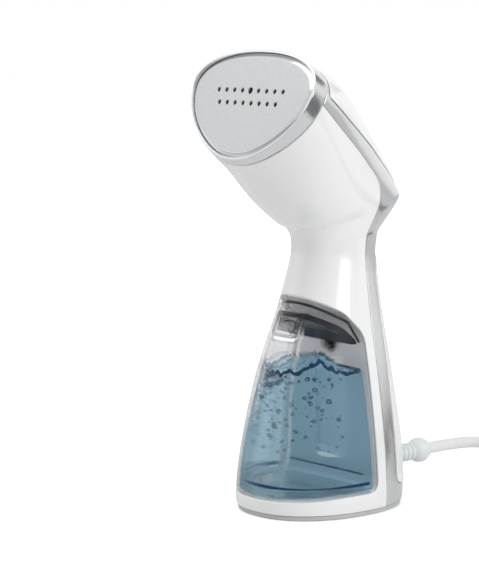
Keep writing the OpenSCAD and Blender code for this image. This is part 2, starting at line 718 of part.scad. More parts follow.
/* Cord */
journal_r = cord_r + 1.4;
sleeve_r = cord_r + 2;
ball_r = cord_r + 4.2;
clamp_x = 12;
clamp_y = 36;
clamp_low = 14;
module cord_bush() color("whitesmoke") difference() {
    union() {
        along_y(45, cord_z) cylinder(h = 9, r = cord_hole_r - 0.1);
        along_y(45, cord_z) cylinder(h = 2, r = cord_hole_r + 1.5);
    }
    along_y(40, cord_z) cylinder(h = 20, r = journal_r + 0.05);
}
sleeve_end = 80;
ball_end = 93;
module cord_swivel() color("whitesmoke") along_y(0, cord_z) difference() {
    union() {
        translate([0, 0, 40.6]) cylinder(h = 1.8, r = journal_r + 1.5);
        translate([0, 0, 41]) cylinder(h = 14, r = journal_r);
        translate([0, 0, 54.3]) cylinder(h = sleeve_end - 54.3, r = sleeve_r);
        intersection() {
            translate([0, 0, (sleeve_end + ball_end) / 2]) sphere(r = ball_r);
            translate([0, 0, sleeve_end - 1]) cylinder(h = ball_end - sleeve_end + 1, r = ball_r + 0.2);
        }
    }
    translate([0, 0, 30]) cylinder(h = 80, r = cord_r + 0.3);
}
module cord_clamp() color("dimgray") difference() {
    translate([-clamp_x - 4, clamp_y - 4, clamp_low]) cube([2 * clamp_x + 8, 8, 14]);
    along_y(0, cord_z) cylinder(h = 60, r = cord_r + 0.05);
    for (x = [-1, 1]) translate([x * clamp_x, clamp_y, 0]) cylinder(h = 40, r = 1.5);
}
module clamp_screws() color("gray")
    for (x = [-1, 1]) translate([x * clamp_x, clamp_y, clamp_low + 0.1]) {
        cylinder(h = 13.9, r = 1.45);
        translate([0, 0, 13.9]) cylinder(h = 1.8, r = 2.8);
    }

coil_x = 48;
coil_y = 190;
coil_floor = 1.2;
cord_route = [[0, 31, cord_z], [0, 60, cord_z], [0, 93, cord_z], [0, 115, cord_z], [0, 134, 21], [0, 150, 18],
    [0, 164, 12.4], [0.6, 177, 7.2], [2.2, 190, 4.8]];
module power_cord() color("whitesmoke") swept(smooth_path(cord_route, 2), cord_r, 12);
// The winding's section: three turns across and two up, with one turn on top.
turn_w = 2 * cord_r;
coil_half = 1.5 * turn_w;
coil_corner = 2;
coil_section = [[coil_half, coil_corner], [coil_half, 2 * turn_w - coil_corner],
    [coil_half - coil_corner, 2 * turn_w], [turn_w / 2, 2 * turn_w], [turn_w / 2, 3 * turn_w - coil_corner],
    [turn_w / 2 - coil_corner, 3 * turn_w]];
module cord_coil() color("whitesmoke") translate([coil_x, coil_y, coil_floor])
    rotate_extrude() translate([coil_mid_r, 0]) polygon(concat([[-coil_half + coil_corner, 0],
        [coil_half - coil_corner, 0]], coil_section, [for (k = [5:-1:0]) [-coil_section[k][0], coil_section[k][1]]]));
tail_route = [[48, 228.5, 19.2], [61, 225.6, 21.4], [71, 218, 26], [76.6, 208, 30.2], [78, 201, 31], [78, 196.2, 31]];
module cord_tail() color("whitesmoke") swept(smooth_path(tail_route, 2), cord_r, 12);
tie_w = 10;
tie_in = coil_half + 0.2;
tie_out = coil_half + 0.7;
tie_top = coil_floor + 3 * turn_w + 0.4;
tie_t = 1.2;
module cord_tie() color("dimgray") translate([coil_x, coil_y - coil_mid_r, 0]) difference() {
    translate([-tie_w / 2, -tie_in - tie_t, 0]) cube([tie_w, tie_in + tie_out + 2 * tie_t, tie_top + 1]);
    translate([-tie_w / 2 - 1, -tie_in, 1]) cube([tie_w + 2, tie_in + tie_out, tie_top - 1]);
}

plug_x = 78;
plug_z = 31;
plug_w = 24;
plug_l = 28;
plug_t = 16;
relief_end = 195.9;
relief_l = 10;
relief_r = 5.5;
plug_back = relief_end - relief_l;
plug_front = plug_back + 0.1 - plug_l;
blade_x = 6.35;
blade_t = 1.5;
blade_w = 6.2;
blade_in = 7;
blade_out = 17;
blade_gap = 0.05;
module plug_body() color("whitesmoke") difference() {
    union() {
        translate([plug_x - plug_w / 2, plug_front, plug_z - plug_t / 2]) cube([plug_w, plug_l, plug_t]);
        along_y(plug_back, plug_z, plug_x) cylinder(h = relief_l, r = relief_r);
    }
    for (x = [-1, 1])
        translate([plug_x + x * blade_x - blade_t / 2 - blade_gap, plug_front - 1, plug_z - blade_w / 2 - 0.1])
            cube([blade_t + 2 * blade_gap, blade_in + 1, blade_w + 0.2]);
}
module plug_blades() color("silver") for (x = [-1, 1])
    translate([plug_x + x * blade_x - blade_t / 2, plug_front - blade_out, plug_z - blade_w / 2])
        cube([blade_t, blade_out + blade_in, blade_w]);

front_shell();
rear_frame();
head_collar();
upper_back_cover();
lower_back_cover();
base_plate();
rubber_feet();
base_screws();
bay_liner();
face_plate();
face_gasket();
steam_baffle();
boiler_body();
heating_element();
thermostat();
thermal_fuse();
heat_shield();
boiler_screws();
boiler_inlet();
pump_coil();
pump_bracket();
pump_tube();
pump_plunger();
pump_spring();
dock_socket();
inlet_hose();
outlet_hose();
control_board();
board_relay();
board_capacitor();
wire_loom();
switch_carrier();
steam_switch();
power_switch();
indicator_lens();
steam_button();
button_spring();
power_button();
water_tank();
tank_lid();
tank_seal();
spigot_ring();
pickup_hose();
pickup_filter();
fill_flap();
fill_plug();
flap_pin();
cord_bush();
cord_swivel();
cord_clamp();
clamp_screws();
power_cord();
cord_coil();
cord_tail();
cord_tie();
plug_body();
plug_blades();
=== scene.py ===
import bpy
import bmesh
import math
import random
import numpy as np
from mathutils import Vector, Matrix
from mathutils.geometry import delaunay_2d_cdt


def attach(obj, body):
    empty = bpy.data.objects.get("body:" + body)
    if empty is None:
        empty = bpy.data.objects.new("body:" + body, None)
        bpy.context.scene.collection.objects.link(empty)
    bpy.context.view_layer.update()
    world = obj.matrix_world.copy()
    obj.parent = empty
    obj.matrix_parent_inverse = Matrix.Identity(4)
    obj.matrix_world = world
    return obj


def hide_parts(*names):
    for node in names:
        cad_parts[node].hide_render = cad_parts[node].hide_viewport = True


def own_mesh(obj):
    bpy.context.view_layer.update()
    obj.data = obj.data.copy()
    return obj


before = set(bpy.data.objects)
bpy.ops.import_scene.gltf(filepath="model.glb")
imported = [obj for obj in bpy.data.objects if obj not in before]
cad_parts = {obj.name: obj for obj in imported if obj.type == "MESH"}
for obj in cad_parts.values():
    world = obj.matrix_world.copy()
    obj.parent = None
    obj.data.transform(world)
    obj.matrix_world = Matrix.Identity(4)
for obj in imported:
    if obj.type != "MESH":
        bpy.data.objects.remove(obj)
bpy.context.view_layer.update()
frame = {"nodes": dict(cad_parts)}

nodes = frame["nodes"]
scene = bpy.context.scene
mm = 0.001


# the camera
viewing = {"azimuth": 48, "elevation": 7.1, "distance": 1.25, "aim": (0, 0, 0.14),
           "panRight": -2.145, "panUp": -0.195, "lens": 134.05}


def makeCamera(v):
    az, el = math.radians(v["azimuth"]), math.radians(v["elevation"])
    back = Vector((math.sin(az) * math.cos(el), -math.cos(az) * math.cos(el), math.sin(el)))
    eye = Vector(v["aim"]) + back * v["distance"]
    turn = (Matrix.Rotation(-math.radians(v["panRight"]), 4, "Z") @
            (-back).to_track_quat("-Z", "Y").to_matrix().to_4x4() @
            Matrix.Rotation(math.radians(v["panUp"]), 4, "X"))
    data = bpy.data.cameras.new("camera")
    data.lens, data.sensor_width, data.sensor_fit = v["lens"], 36, "AUTO"
    data.clip_end = 30
    cam = bpy.data.objects.new("camera", data)
    scene.collection.objects.link(cam)
    cam.matrix_world = Matrix.Translation(eye) @ turn
    scene.camera = cam
    return cam


makeCamera(viewing)
print("camera made")


# One row for each level of the body, in mm and degrees: middle y, middle z, tilt, half width,
# reach to the front, reach to the back, roundness power, taper, and 1 where the line may turn sharply.
bodyLevels = np.array([
    [1.5, 0, 0, 42.5, 51, 51, 2.3, 0.06, 1],
    [1.5, 12, 0, 43.2, 52, 52, 2.3, 0.06, 0],
    [2.5, 40, 0, 41, 49.5, 49.5, 2.3, 0.06, 0],
    [4.5, 80, 0, 35, 42, 42, 2.3, 0.05, 0],
    [9, 120, 0, 27, 32, 32, 2.3, 0.03, 0],
    [12.5, 150, 0, 22.8, 26.5, 26.5, 2.2, 0, 0],
    [13.2, 164, 3, 23, 27, 27.3, 2.2, 0, 1],
    [18.5, 177.5, 14, 28.5, 38, 41.5, 2.15, 0, 1],
    [6.5, 188.5, 30, 34.5, 35.3, 38.5, 2.15, 0.03, 0],
    [-13.9, 207, 45, 42, 34.5, 38, 2.15, 0.12, 0],
    [-33.3, 226, 58, 48, 34.3, 37, 2.15, 0.22, 0],
    [-47.2, 236, 66, 51.2, 33.6, 35.3, 2.15, 0.28, 0],
    [-55.5, 242.7, 69.4, 52, 33.3, 33.3, 2.15, 0.3, 1]])
faceTilt = math.radians(bodyLevels[-1][2])
faceMiddle = np.array([0, bodyLevels[-1][0], bodyLevels[-1][1]])
faceUp = np.array([0, math.cos(faceTilt), math.sin(faceTilt)])
faceOut = np.array([0, -math.sin(faceTilt), math.cos(faceTilt)])
aroundCount, riseStep = 720, 0.5


def levelAt(t):
    last = len(bodyLevels) - 1
    i = min(int(t), last - 1)
    f = t - i
    p, q = bodyLevels[i], bodyLevels[i + 1]
    m1 = q - p if p[8] > 0.5 else (q - bodyLevels[i - 1]) / 2
    m2 = q - p if q[8] > 0.5 else (bodyLevels[i + 2] - p) / 2
    ease = f * f * (3 - 2 * f)
    return p * (1 - ease) + q * ease + m1 * (f ** 3 - 2 * f * f + f) + m2 * (f ** 3 - f * f)


def ringOf(level):
    turn = np.radians(np.linspace(-90, 270, 2 * aroundCount + 1))
    c, s = np.cos(turn), np.sin(turn)
    x = level[3] * np.sign(c) * np.abs(c) ** (2 / level[6]) * (1 + level[7] * s)
    v = np.where(s >= 0, level[5], level[4]) * np.sign(s) * np.abs(s) ** (2 / level[6])
    tilt = math.radians(level[2])
    ring = np.stack([x, level[0] + v * math.cos(tilt), level[1] + v * math.sin(tilt)], 1)
    run = np.concatenate([[0], np.cumsum(np.linalg.norm(np.diff(ring, axis=0), axis=1))])
    share = np.linspace(0, run[-1], aroundCount + 1)
    return np.stack([np.interp(share, run, ring[:, k]) for k in range(3)], 1)


def makeSurface():
    # rows half a millimetre apart up the middle of the body, columns evenly round each ring
    fine = np.linspace(0, len(bodyLevels) - 1, 1201)
    rows = np.array([levelAt(t) for t in fine])
    run = np.concatenate([[0], np.cumsum(np.hypot(np.diff(rows[:, 0]), np.diff(rows[:, 1])))])
    count = int(run[-1] / riseStep) + 1
    ts = np.interp(np.linspace(0, run[-1], count), run, fine)
    grid = np.array([ringOf(levelAt(t)) for t in ts])
    # the two creases get a small radius
    pad = 8
    low = 2 * grid[:1] - grid[pad:0:-1]
    high = 2 * grid[-1:] - grid[-2:-2 - pad:-1]
    wide = np.concatenate([low, grid, high])
    weights = np.exp(-0.5 * (np.arange(-pad, pad + 1) / 2.4) ** 2)
    weights /= weights.sum()
    grid = sum(w * wide[k:k + len(grid)] for k, w in enumerate(weights))
    along = np.gradient(grid, axis=0)
    ringed = np.concatenate([grid[:, -2:-1], grid, grid[:, 1:2]], 1)
    around = (ringed[:, 2:] - ringed[:, :-2]) / 2
    normal = np.cross(around, along)
    normal /= np.linalg.norm(normal, axis=2, keepdims=True)
    return grid, normal, run[-1] / (count - 1)


surfaceGrid, surfaceNormals, rise = makeSurface()
riseTop = (len(surfaceGrid) - 1) * rise


def readGrid(grid, w, v):
    # w is the share of the way round from the front, v is the height along the body's middle line in mm
    a = np.mod(w, 1) * aroundCount
    b = np.clip(v / rise, 0, len(grid) - 1.0001)
    i, j = b.astype(int), np.minimum(a.astype(int), aroundCount - 1)
    f, g = (b - i)[..., None], (a - j)[..., None]
    return ((grid[i, j] * (1 - g) + grid[i, j + 1] * g) * (1 - f) +
            (grid[i + 1, j] * (1 - g) + grid[i + 1, j + 1] * g) * f)


def pointAt(w, v, lift=0):
    w, v = np.broadcast_arrays(np.asarray(w, float), np.asarray(v, float))
    normal = readGrid(surfaceNormals, w, v)
    normal /= np.linalg.norm(normal, axis=-1, keepdims=True)
    return readGrid(surfaceGrid, w, v) + normal * np.asarray(lift)[..., None], normal


def findOnSurface(targets, first, second, wRange, vRange=(0, 1e9)):
    # the surface's (w, v) where its points measure the targets along two directions
    cols = np.arange(int(wRange[0] * aroundCount), int(wRange[1] * aroundCount) + 1, 2)
    rowIds = np.arange(int(vRange[0] / rise), min(int(vRange[1] / rise) + 1, len(surfaceGrid)), 2)
    part = surfaceGrid[rowIds[:, None], cols[None, :]]
    pa, pb = (part @ first).ravel(), (part @ second).ravel()
    found = []
    for a, b in targets:
        k = int(np.argmin((pa - a) ** 2 + (pb - b) ** 2))
        w, v = cols[k % len(cols)] / aroundCount, rowIds[k // len(cols)] * rise
        for step in range(6):
            here = pointAt(w, v)[0]
            dw, dv = 0.0006, 0.3
            gw = (pointAt(min(w + dw, wRange[1]), v)[0] - pointAt(max(w - dw, wRange[0]), v)[0])
            gw /= min(w + dw, wRange[1]) - max(w - dw, wRange[0])
            gv = (pointAt(w, min(v + dv, riseTop))[0] - pointAt(w, max(v - dv, 0))[0])
            gv /= min(v + dv, riseTop) - max(v - dv, 0)
            m = np.array([[gw @ first, gv @ first], [gw @ second, gv @ second]])
            miss = np.array([a - here @ first, b - here @ second])
            if abs(np.linalg.det(m)) < 1e-3:
                break
            move = np.linalg.solve(m, miss)
            move = np.clip(move, [-0.01, -2], [0.01, 2])
            w = float(np.clip(w + move[0], wRange[0], wRange[1]))
            v = float(np.clip(v + move[1], 0, riseTop))
        here = pointAt(w, v)[0]
        found.append((w, v, math.hypot(a - here @ first, b - here @ second)))
    return np.array(found)


alongX, alongY, alongZ = np.eye(3)


def curveThrough(points, step=0.8):
    # a smooth line through the points, with a point about every step
    p = np.array(points, float)
    p = np.vstack([2 * p[0] - p[1], p, 2 * p[-1] - p[-2]])
    out = []
    for i in range(1, len(p) - 2):
        a, b, c, d = p[i - 1:i + 3]
        n = max(1, int(np.linalg.norm(c - b) / step))
        for k in range(n):
            f = k / n
            out.append(0.5 * (2 * b + (c - a) * f + (2 * a - 5 * b + 4 * c - d) * f * f +
                              (3 * b - a - 3 * c + d) * f ** 3))
    out.append(p[-2])
    return np.array(out)


def roundedLine(points, radius, step=0.8):
    # straight runs joined by arcs
    p = [np.array(q, float) for q in points]
    out = [p[0]]
    for i in range(1, len(p) - 1):
        a, b, c = p[i - 1], p[i], p[i + 1]
        r = radius[i - 1] if hasattr(radius, "__len__") else radius
        ua, uc = (a - b) / np.linalg.norm(a - b), (c - b) / np.linalg.norm(c - b)
        cut = r / math.tan(math.acos(np.clip(ua @ uc, -1, 1)) / 2 + 1e-9)
        cut = min(cut, 0.48 * np.linalg.norm(a - b), 0.48 * np.linalg.norm(c - b))
        n = max(3, int(cut * 1.6 / step))
        for k in range(n + 1):
            f = k / n
            out.append((1 - f) ** 2 * (b + ua * cut) + 2 * f * (1 - f) * b + f * f * (b + uc * cut))
    out.append(p[-1])
    dense = [out[0]]
    for q in out[1:]:
        n = max(1, int(np.linalg.norm(q - dense[-1]) / step))
        start = dense[-1]
        dense += [start + (q - start) * k / n for k in range(1, n + 1)]
    return np.array(dense)


def sideCurve(line, vRange=(0, 1e9)):
    # a side-view line (y, z) put on the right half of the surface; an end outside the body
    # stops on its middle line
    found = findOnSurface(line, alongY, alongZ, (0, 0.5), vRange)
    inside = found[:, 2] < 0.05
    ids = np.nonzero(inside)[0]
    keep = found[ids[0]:ids[-1] + 1, :2]
    first, last = ids[0] > 0, ids[-1] < len(line) - 1
    ends = []
    for take, at, beyond in ((first, ids[0], ids[0] - 1), (last, ids[-1], ids[-1] + 1)):
        if not take:
            ends.append(None)
            continue
        good, bad = np.array(line[at], float), np.array(line[beyond], float)
        for halving in range(12):
            middle = (good + bad) / 2
            hit = findOnSurface([middle], alongY, alongZ, (0, 0.5), vRange)[0]
            if hit[2] < 0.02:
                good = middle
            else:
                bad = middle
        hit = findOnSurface([good], alongY, alongZ, (0, 0.5), vRange)[0]
        ends.append((0.0 if hit[0] < 0.25 else 0.5, hit[1]))
    half = len(keep) // 2
    early, late = keep[:half], keep[half:]
    if ends[0]:
        early = np.vstack([[ends[0]], early[np.abs(early[:, 0] - ends[0][0]) > 0.0015]])
    if ends[1]:
        late = np.vstack([late[np.abs(late[:, 0] - ends[1][0]) > 0.0015], [ends[1]]])
    return np.vstack([early, late])


def mirrored(curve, about=0.0):
    out = curve[::-1].copy()
    out[:, 0] = 2 * about - out[:, 0]
    return out


def cleanLoop(loop, least=0.25):
    # drops points that nearly coincide
    scaled = loop * [aroundScale, 1]
    keep = [0]
    for k in range(1, len(loop)):
        if np.linalg.norm(scaled[k] - scaled[keep[-1]]) > least:
            keep.append(k)
    if np.linalg.norm(scaled[keep[-1]] - scaled[0]) <= least:
        keep.pop()
    return loop[keep]


aroundScale = 280.0   # mm of surface for one whole turn, roughly


def insideLoop(points, loop):
    x, y = points[:, 0], points[:, 1]
    inside = np.zeros(len(points), bool)
    a, b = loop, np.roll(loop, -1, 0)
    for (x1, y1), (x2, y2) in zip(a, b):
        cross = (y1 > y) != (y2 > y)
        if not cross.any():
            continue
        at = x1 + (y - y1) / (y2 - y1 if y2 != y1 else 1e-12) * (x2 - x1)
        inside ^= cross & (x < at)
    return inside


def distanceToLoop(points, loop):
    best = np.full(len(points), 1e9)
    a, b = loop, np.roll(loop, -1, 0)
    for p, q in zip(a, b):
        d = q - p
        f = np.clip(((points - p) @ d) / max(d @ d, 1e-12), 0, 1)
        best = np.minimum(best, np.linalg.norm(points - p - f[:, None] * d, axis=1))
    return best


def loopArea(loop):
    x, y = loop[:, 0], loop[:, 1]
    return 0.5 * np.sum(x * np.roll(y, -1) - np.roll(x, -1) * y)


def fillRegion(loops, spacing):
    # an even triangle mesh of a flat region: the first loop is its outline, the rest are holes
    rings = [loops[0] if loopArea(loops[0]) > 0 else loops[0][::-1]]
    rings += [h if loopArea(h) < 0 else h[::-1] for h in loops[1:]]
    low, high = rings[0].min(0), rings[0].max(0)
    rowsY = np.arange(low[1] + spacing / 2, high[1], spacing * 0.866)
    pts = [np.stack([np.arange(low[0] + (k % 2) * spacing / 2, high[0], spacing),
                     np.full(len(np.arange(low[0] + (k % 2) * spacing / 2, high[0], spacing)), y)], 1)
           for k, y in enumerate(rowsY)]
    pts = np.vstack(pts)
    pts = pts[insideLoop(pts, rings[0])]
    for h in rings[1:]:
        pts = pts[~insideLoop(pts, h)]
    for ring in rings:
        pts = pts[distanceToLoop(pts, ring) > spacing * 0.55]
    verts, edges, starts = [], [], []
    for ring in rings:
        base = len(verts)
        starts.append((base, len(ring)))
        verts += [Vector(p) for p in ring]
        edges += [(base + k, base + (k + 1) % len(ring)) for k in range(len(ring))]
    verts += [Vector(p) for p in pts]
    co, _, faces, origin, _, _ = delaunay_2d_cdt(verts, edges, [], 0, 1e-7)
    co = np.array([list(c) for c in co])
    back = {}
    for k, src in enumerate(origin):
        for s in src:
            back[s] = k
    tris = np.array([f for f in faces if len(f) == 3])
    middle = co[tris].mean(1)
    keep = insideLoop(middle, rings[0])
    for h in rings[1:]:
        keep &= ~insideLoop(middle, h)
    tris = tris[keep]
    area = np.cross(co[tris[:, 1]] - co[tris[:, 0]], co[tris[:, 2]] - co[tris[:, 0]])
    tris[area < 0] = tris[area < 0][:, ::-1]
    order = [[back[base + k] for k in range(n)] for base, n in starts]
    return co, tris, order


def makeObject(name, verts, faces, normals=None, flat=False, sharp=None):
    mesh = bpy.data.meshes.new(name)
    mesh.from_pydata([tuple(p) for p in np.asarray(verts) * mm], [],
                     [tuple(int(i) for i in f) for f in faces])
    mesh.validate()
    mesh.update()
    if not flat:
        mesh.shade_smooth()
    if sharp:
        mesh.set_sharp_from_angle(angle=math.radians(sharp))
    if normals is not None and len(mesh.vertices) == len(normals):
        mesh.normals_split_custom_set_from_vertices([tuple(n) for n in normals])
    obj = bpy.data.objects.new(name, mesh)
    scene.collection.objects.link(obj)
    return obj


def unit(v):
    return v / np.maximum(np.linalg.norm(v, axis=-1, keepdims=True), 1e-12)


def shellPatch(name, loops, lift=0.0, thick=2.2, edge=0.45, gap=0.12, spacing=2.2, crown=None):
    # a moulded shell: a region of the body's surface with rounded edges and a wall
    flat = [cleanLoop(l) * [aroundScale, 1] for l in loops]
    co, tris, order = fillRegion(flat, spacing)
    w, v = co[:, 0] / aroundScale, co[:, 1]
    lifts = np.full(len(co), float(lift))
    if crown:
        nearest = np.min([distanceToLoop(co, flat[0])], 0)
        f = np.clip(nearest / crown["reach"], 0, 1)
        lifts += crown["height"] * (1 - (1 - f) ** 2)
    pos, nor = pointAt(w, v, lifts)
    if crown:
        acc = np.zeros_like(pos)
        face = np.cross(pos[tris[:, 1]] - pos[tris[:, 0]], pos[tris[:, 2]] - pos[tris[:, 0]])
        for k in range(3):
            np.add.at(acc, tris[:, k], face)
        nor = unit(acc)
    verts, normals = [pos], [nor]
    faces = [tuple(t) for t in tris]
    total = len(pos)
    lowRings = []
    for ids in order:
        p, n = pos[ids].copy(), nor[ids]
        t = unit(np.roll(p, -1, 0) - np.roll(p, 1, 0))
        inward = unit(np.cross(n, t))
        edgeLine = p + inward * gap
        pos[ids] = edgeLine + inward * edge
        previous = list(ids)
        for deg in (30, 60, 90):
            a = math.radians(deg)
            ring = edgeLine + inward * edge * (1 - math.sin(a)) - n * edge * (1 - math.cos(a))
            verts.append(ring)
            normals.append(unit(n * math.cos(a) - inward * math.sin(a)))
            here = list(range(total, total + len(ids)))
            total += len(ids)
            m = len(ids)
            faces += [(previous[(k + 1) % m], previous[k], here[k], here[(k + 1) % m]) for k in range(m)]
            previous = here
        verts.append(edgeLine - n * thick)
        normals.append(unit(-inward - 0.3 * n))
        here = list(range(total, total + len(ids)))
        total += len(ids)
        m = len(ids)
        faces += [(previous[(k + 1) % m], previous[k], here[k], here[(k + 1) % m]) for k in range(m)]
        lowRings.append((ids, here))
    inner = pos - nor * thick
    innerIds = np.arange(total, total + len(pos))
    for ids, here in lowRings:
        for a, b in zip(ids, here):
            innerIds[a] = b
    used = sorted(set(innerIds[innerIds >= total]))
    remap = {u: total + k for k, u in enumerate(used)}
    verts.append(inner[[u - total for u in used]])
    normals.append(-nor[[u - total for u in used]])
    innerIds = [remap.get(i, i) for i in innerIds]
    faces += [(innerIds[t[2]], innerIds[t[1]], innerIds[t[0]]) for t in tris]
    verts[0] = pos
    return makeObject(name, np.vstack(verts), faces, np.vstack(normals))


# lines of the shells in the side view (y, z)
seamLine = curveThrough([(18.5, 2.8), (18.5, 40), (18.5, 80), (18.5, 120), (18.6, 148), (18.9, 160),
                         (19.8, 168), (21.7, 178), (22.3, 185), (20.6, 193.2), (15.4, 200), (6, 207.4),
                         (-3.4, 214.6),
                         (-24.6, 229.4), (-43.6, 243.5)])
collarLow, collarHigh = np.array([-66, 202.4]), np.array([-26, 277])
collarLine = roundedLine([collarLow, collarHigh], 1)
windowLine = roundedLine([(-70, 10.6), (-38.5, 11.5), (-10.8, 13.1), (11, 13.5), (11, 106), (-2, 119.5),
                          (-20, 129), (-70, 150)], [40, 60, 7, 16, 24, 40])
lowerCoverLine = roundedLine([(80, 12), (42, 13.2), (29.5, 15), (29.5, 142), (35, 151), (80, 153)],
                             [20, 8, 12, 12])
upperCoverLine = roundedLine([(80, 172.8), (57, 188.6), (13.5, 216.6), (-15.5, 233.4), (-38.4, 248.2),
                              (-24, 275), (-18, 286)], [3, 60, 60, 3, 3])


seam = sideCurve(seamLine)
collar = sideCurve(collarLine, (200, 1e9))
windowCurve = sideCurve(windowLine, (0, 160))
lowerCover = sideCurve(lowerCoverLine, (0, 165))
upperCover = sideCurve(upperCoverLine, (170, 1e9))
print("lines of the shells found")


def rowBetween(v, w0, w1, step=0.003):
    # points along a level of the body
    count = max(2, int(abs(w1 - w0) / step))
    return np.stack([np.linspace(w0, w1, count + 1)[:-1], np.full(count, float(v))], 1)


def placeBody(obj, body, slot, *nodes):
    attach(obj, body)
    if nodes:
        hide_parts(*nodes)
    return obj


shells = {"wall": 2.2, "edge": 0.5, "gap": 0.14, "spacing": 2.4, "coverProud": 0.6, "coverCrown": 2.4,
          "crownReach": 15, "tankGap": 0.4}

# the back of the head: local x, up along the back, and out of it
backLow = np.array([0, 58.8, 187.5])
backAngle = math.radians(41.4)
backUp = np.array([0, -math.cos(backAngle), math.sin(backAngle)])
backOut = np.array([0, math.sin(backAngle), math.cos(backAngle)])
controls = {"steamAt": 64, "steamWide": 15, "steamLong": 26, "steamGap": 0.45, "steamTop": 6.6,
            "powerAt": 34, "powerRadius": 5, "powerTop": 4.6, "lensAt": 47.5, "lensRadius": 1.6}
flap = {"halfWide": 12, "low": 105.3, "high": 119.5, "corner": 2.4, "thick": 1.5}
cordHole = {"radius": 7, "height": 21.5}


def stadium(wide, long, step=0.6):
    r = wide / 2
    straight = (long - wide) / 2
    count = max(8, int(math.pi * r / step))
    a = np.linspace(0, math.pi, count + 1)
    top = np.stack([r * np.cos(a), straight + r * np.sin(a)], 1)
    side = np.linspace(straight, -straight, max(2, int(2 * straight / step)))[1:-1]
    left = np.stack([np.full(len(side), -r), side], 1)
    return np.vstack([top, left, -top, -left])


def circle(radius, count=48):
    a = np.linspace(0, 2 * math.pi, count, endpoint=False)
    return np.stack([radius * np.cos(a), radius * np.sin(a)], 1)


def roundedBox(x0, y0, x1, y1, r, step=0.6):
    corners = [(x1 - r, y0 + r, -90), (x1 - r, y1 - r, 0), (x0 + r, y1 - r, 90), (x0 + r, y0 + r, 180)]
    out = []
    for cx, cy, start in corners:
        for k in range(7):
            a = math.radians(start + 15 * k)
            out.append((cx + r * math.cos(a), cy + r * math.sin(a)))
    out = np.array(out)
    dense = []
    for p, q in zip(out, np.roll(out, -1, 0)):
        n = max(1, int(np.linalg.norm(q - p) / step))
        dense += [p + (q - p) * k / n for k in range(n)]
    return np.array(dense)


def loopOnBack(outline, at):
    # an outline in the back's own plane, as a loop on the surface
    flatLoop = outline + [0, at + backLow @ backUp]
    flipped = flatLoop * [1, 1]
    right = findOnSurface(np.abs(flipped) * [1, 1] * np.where([True, True], 1, 1), alongX, backUp,
                          (0.25, 0.5), (172, 1e9))[:, :2]
    right[:, 0] = np.where(flatLoop[:, 0] < 0, 1 - right[:, 0], right[:, 0])
    return right


def loopOnFront(outline, wRange):
    # an outline given by x and z, as a loop on the front (about w = 0) or the back (about w = 0.5)
    right = findOnSurface(np.abs(outline), alongX, alongZ, wRange, (0, 165))[:, :2]
    about = 0.0 if wRange[0] == 0 else 1.0
    right[:, 0] = np.where(outline[:, 0] < 0, about - right[:, 0], right[:, 0])
    return right


bottomRow = 2.95
seamStart = np.array([np.interp(bottomRow, seam[:12, 1], seam[:12, 0]), bottomRow])
seamRun = np.vstack([[seamStart], seam[seam[:, 1] > bottomRow + 0.4]])
topSeam = seamRun[-1]
collarFront = collar[collar[:, 0] < topSeam[0] - 0.002]
collarBack = collar[collar[:, 0] > topSeam[0] + 0.002]

# white front half: up the right seam, along the collar to the middle, and its mirror image
rightSide = np.vstack([seamRun, collarFront[::-1]])
frontOutline = np.vstack([rowBetween(bottomRow, -seamStart[0], seamStart[0]), rightSide,
                          mirrored(rightSide)[1:-1]])
windowHole = np.vstack([windowCurve, mirrored(windowCurve)[1:-1]])
frontShell = shellPatch("frontShell", [frontOutline, windowHole], 0, shells["wall"], shells["edge"],
                        shells["gap"], shells["spacing"])
placeBody(frontShell, "housing", "white_shell", "front_shell")

# silver rear half with the openings of the two covers
rightSide = np.vstack([seamRun[::-1], rowBetween(bottomRow, seamStart[0], 1 - seamStart[0])[1:]])
leftSide = mirrored(np.vstack([seamRun[::-1]]), 0.5)
backTop = np.vstack([collarBack, mirrored(collarBack, 0.5)[1:]])
frameOutline = np.vstack([rowBetween(bottomRow, seamStart[0], 1 - seamStart[0]), leftSide,
                          backTop[::-1], seamRun[::-1][:-1]])
lowerLoop = np.vstack([lowerCover, mirrored(lowerCover, 0.5)[1:-1]])
upperLoop = np.vstack([upperCover, mirrored(upperCover, 0.5)[1:-1]])
silverFrame = shellPatch("silverFrame", [frameOutline, lowerLoop, upperLoop], 0, shells["wall"],
                         shells["edge"], shells["gap"], shells["spacing"])
placeBody(silverFrame, "housing", "silver_shell", "rear_frame")

cordLoop = loopOnFront(circle(cordHole["radius"]) + [0, cordHole["height"]], (0.25, 0.5))
lowerCoverShell = shellPatch("lowerCover", [lowerLoop, cordLoop], shells["coverProud"], shells["wall"],
                             shells["edge"], shells["gap"], shells["spacing"])
placeBody(lowerCoverShell, "housing", "white_shell", "lower_back_cover")

steamHole = loopOnBack(stadium(controls["steamWide"] + 2 * controls["steamGap"],
                               controls["steamLong"] + 2 * controls["steamGap"]), controls["steamAt"])
powerHole = loopOnBack(circle(controls["powerRadius"] + 0.35), controls["powerAt"])
lensHole = loopOnBack(circle(controls["lensRadius"] + 0.05, 20), controls["lensAt"])
upperCoverShell = shellPatch("upperCover", [upperLoop, steamHole, powerHole, lensHole], shells["coverProud"],
                             shells["wall"], shells["edge"], shells["gap"], shells["spacing"],
                             {"height": shells["coverCrown"], "reach": shells["crownReach"]})
placeBody(upperCoverShell, "housing", "white_shell", "upper_back_cover")
print("shells made")


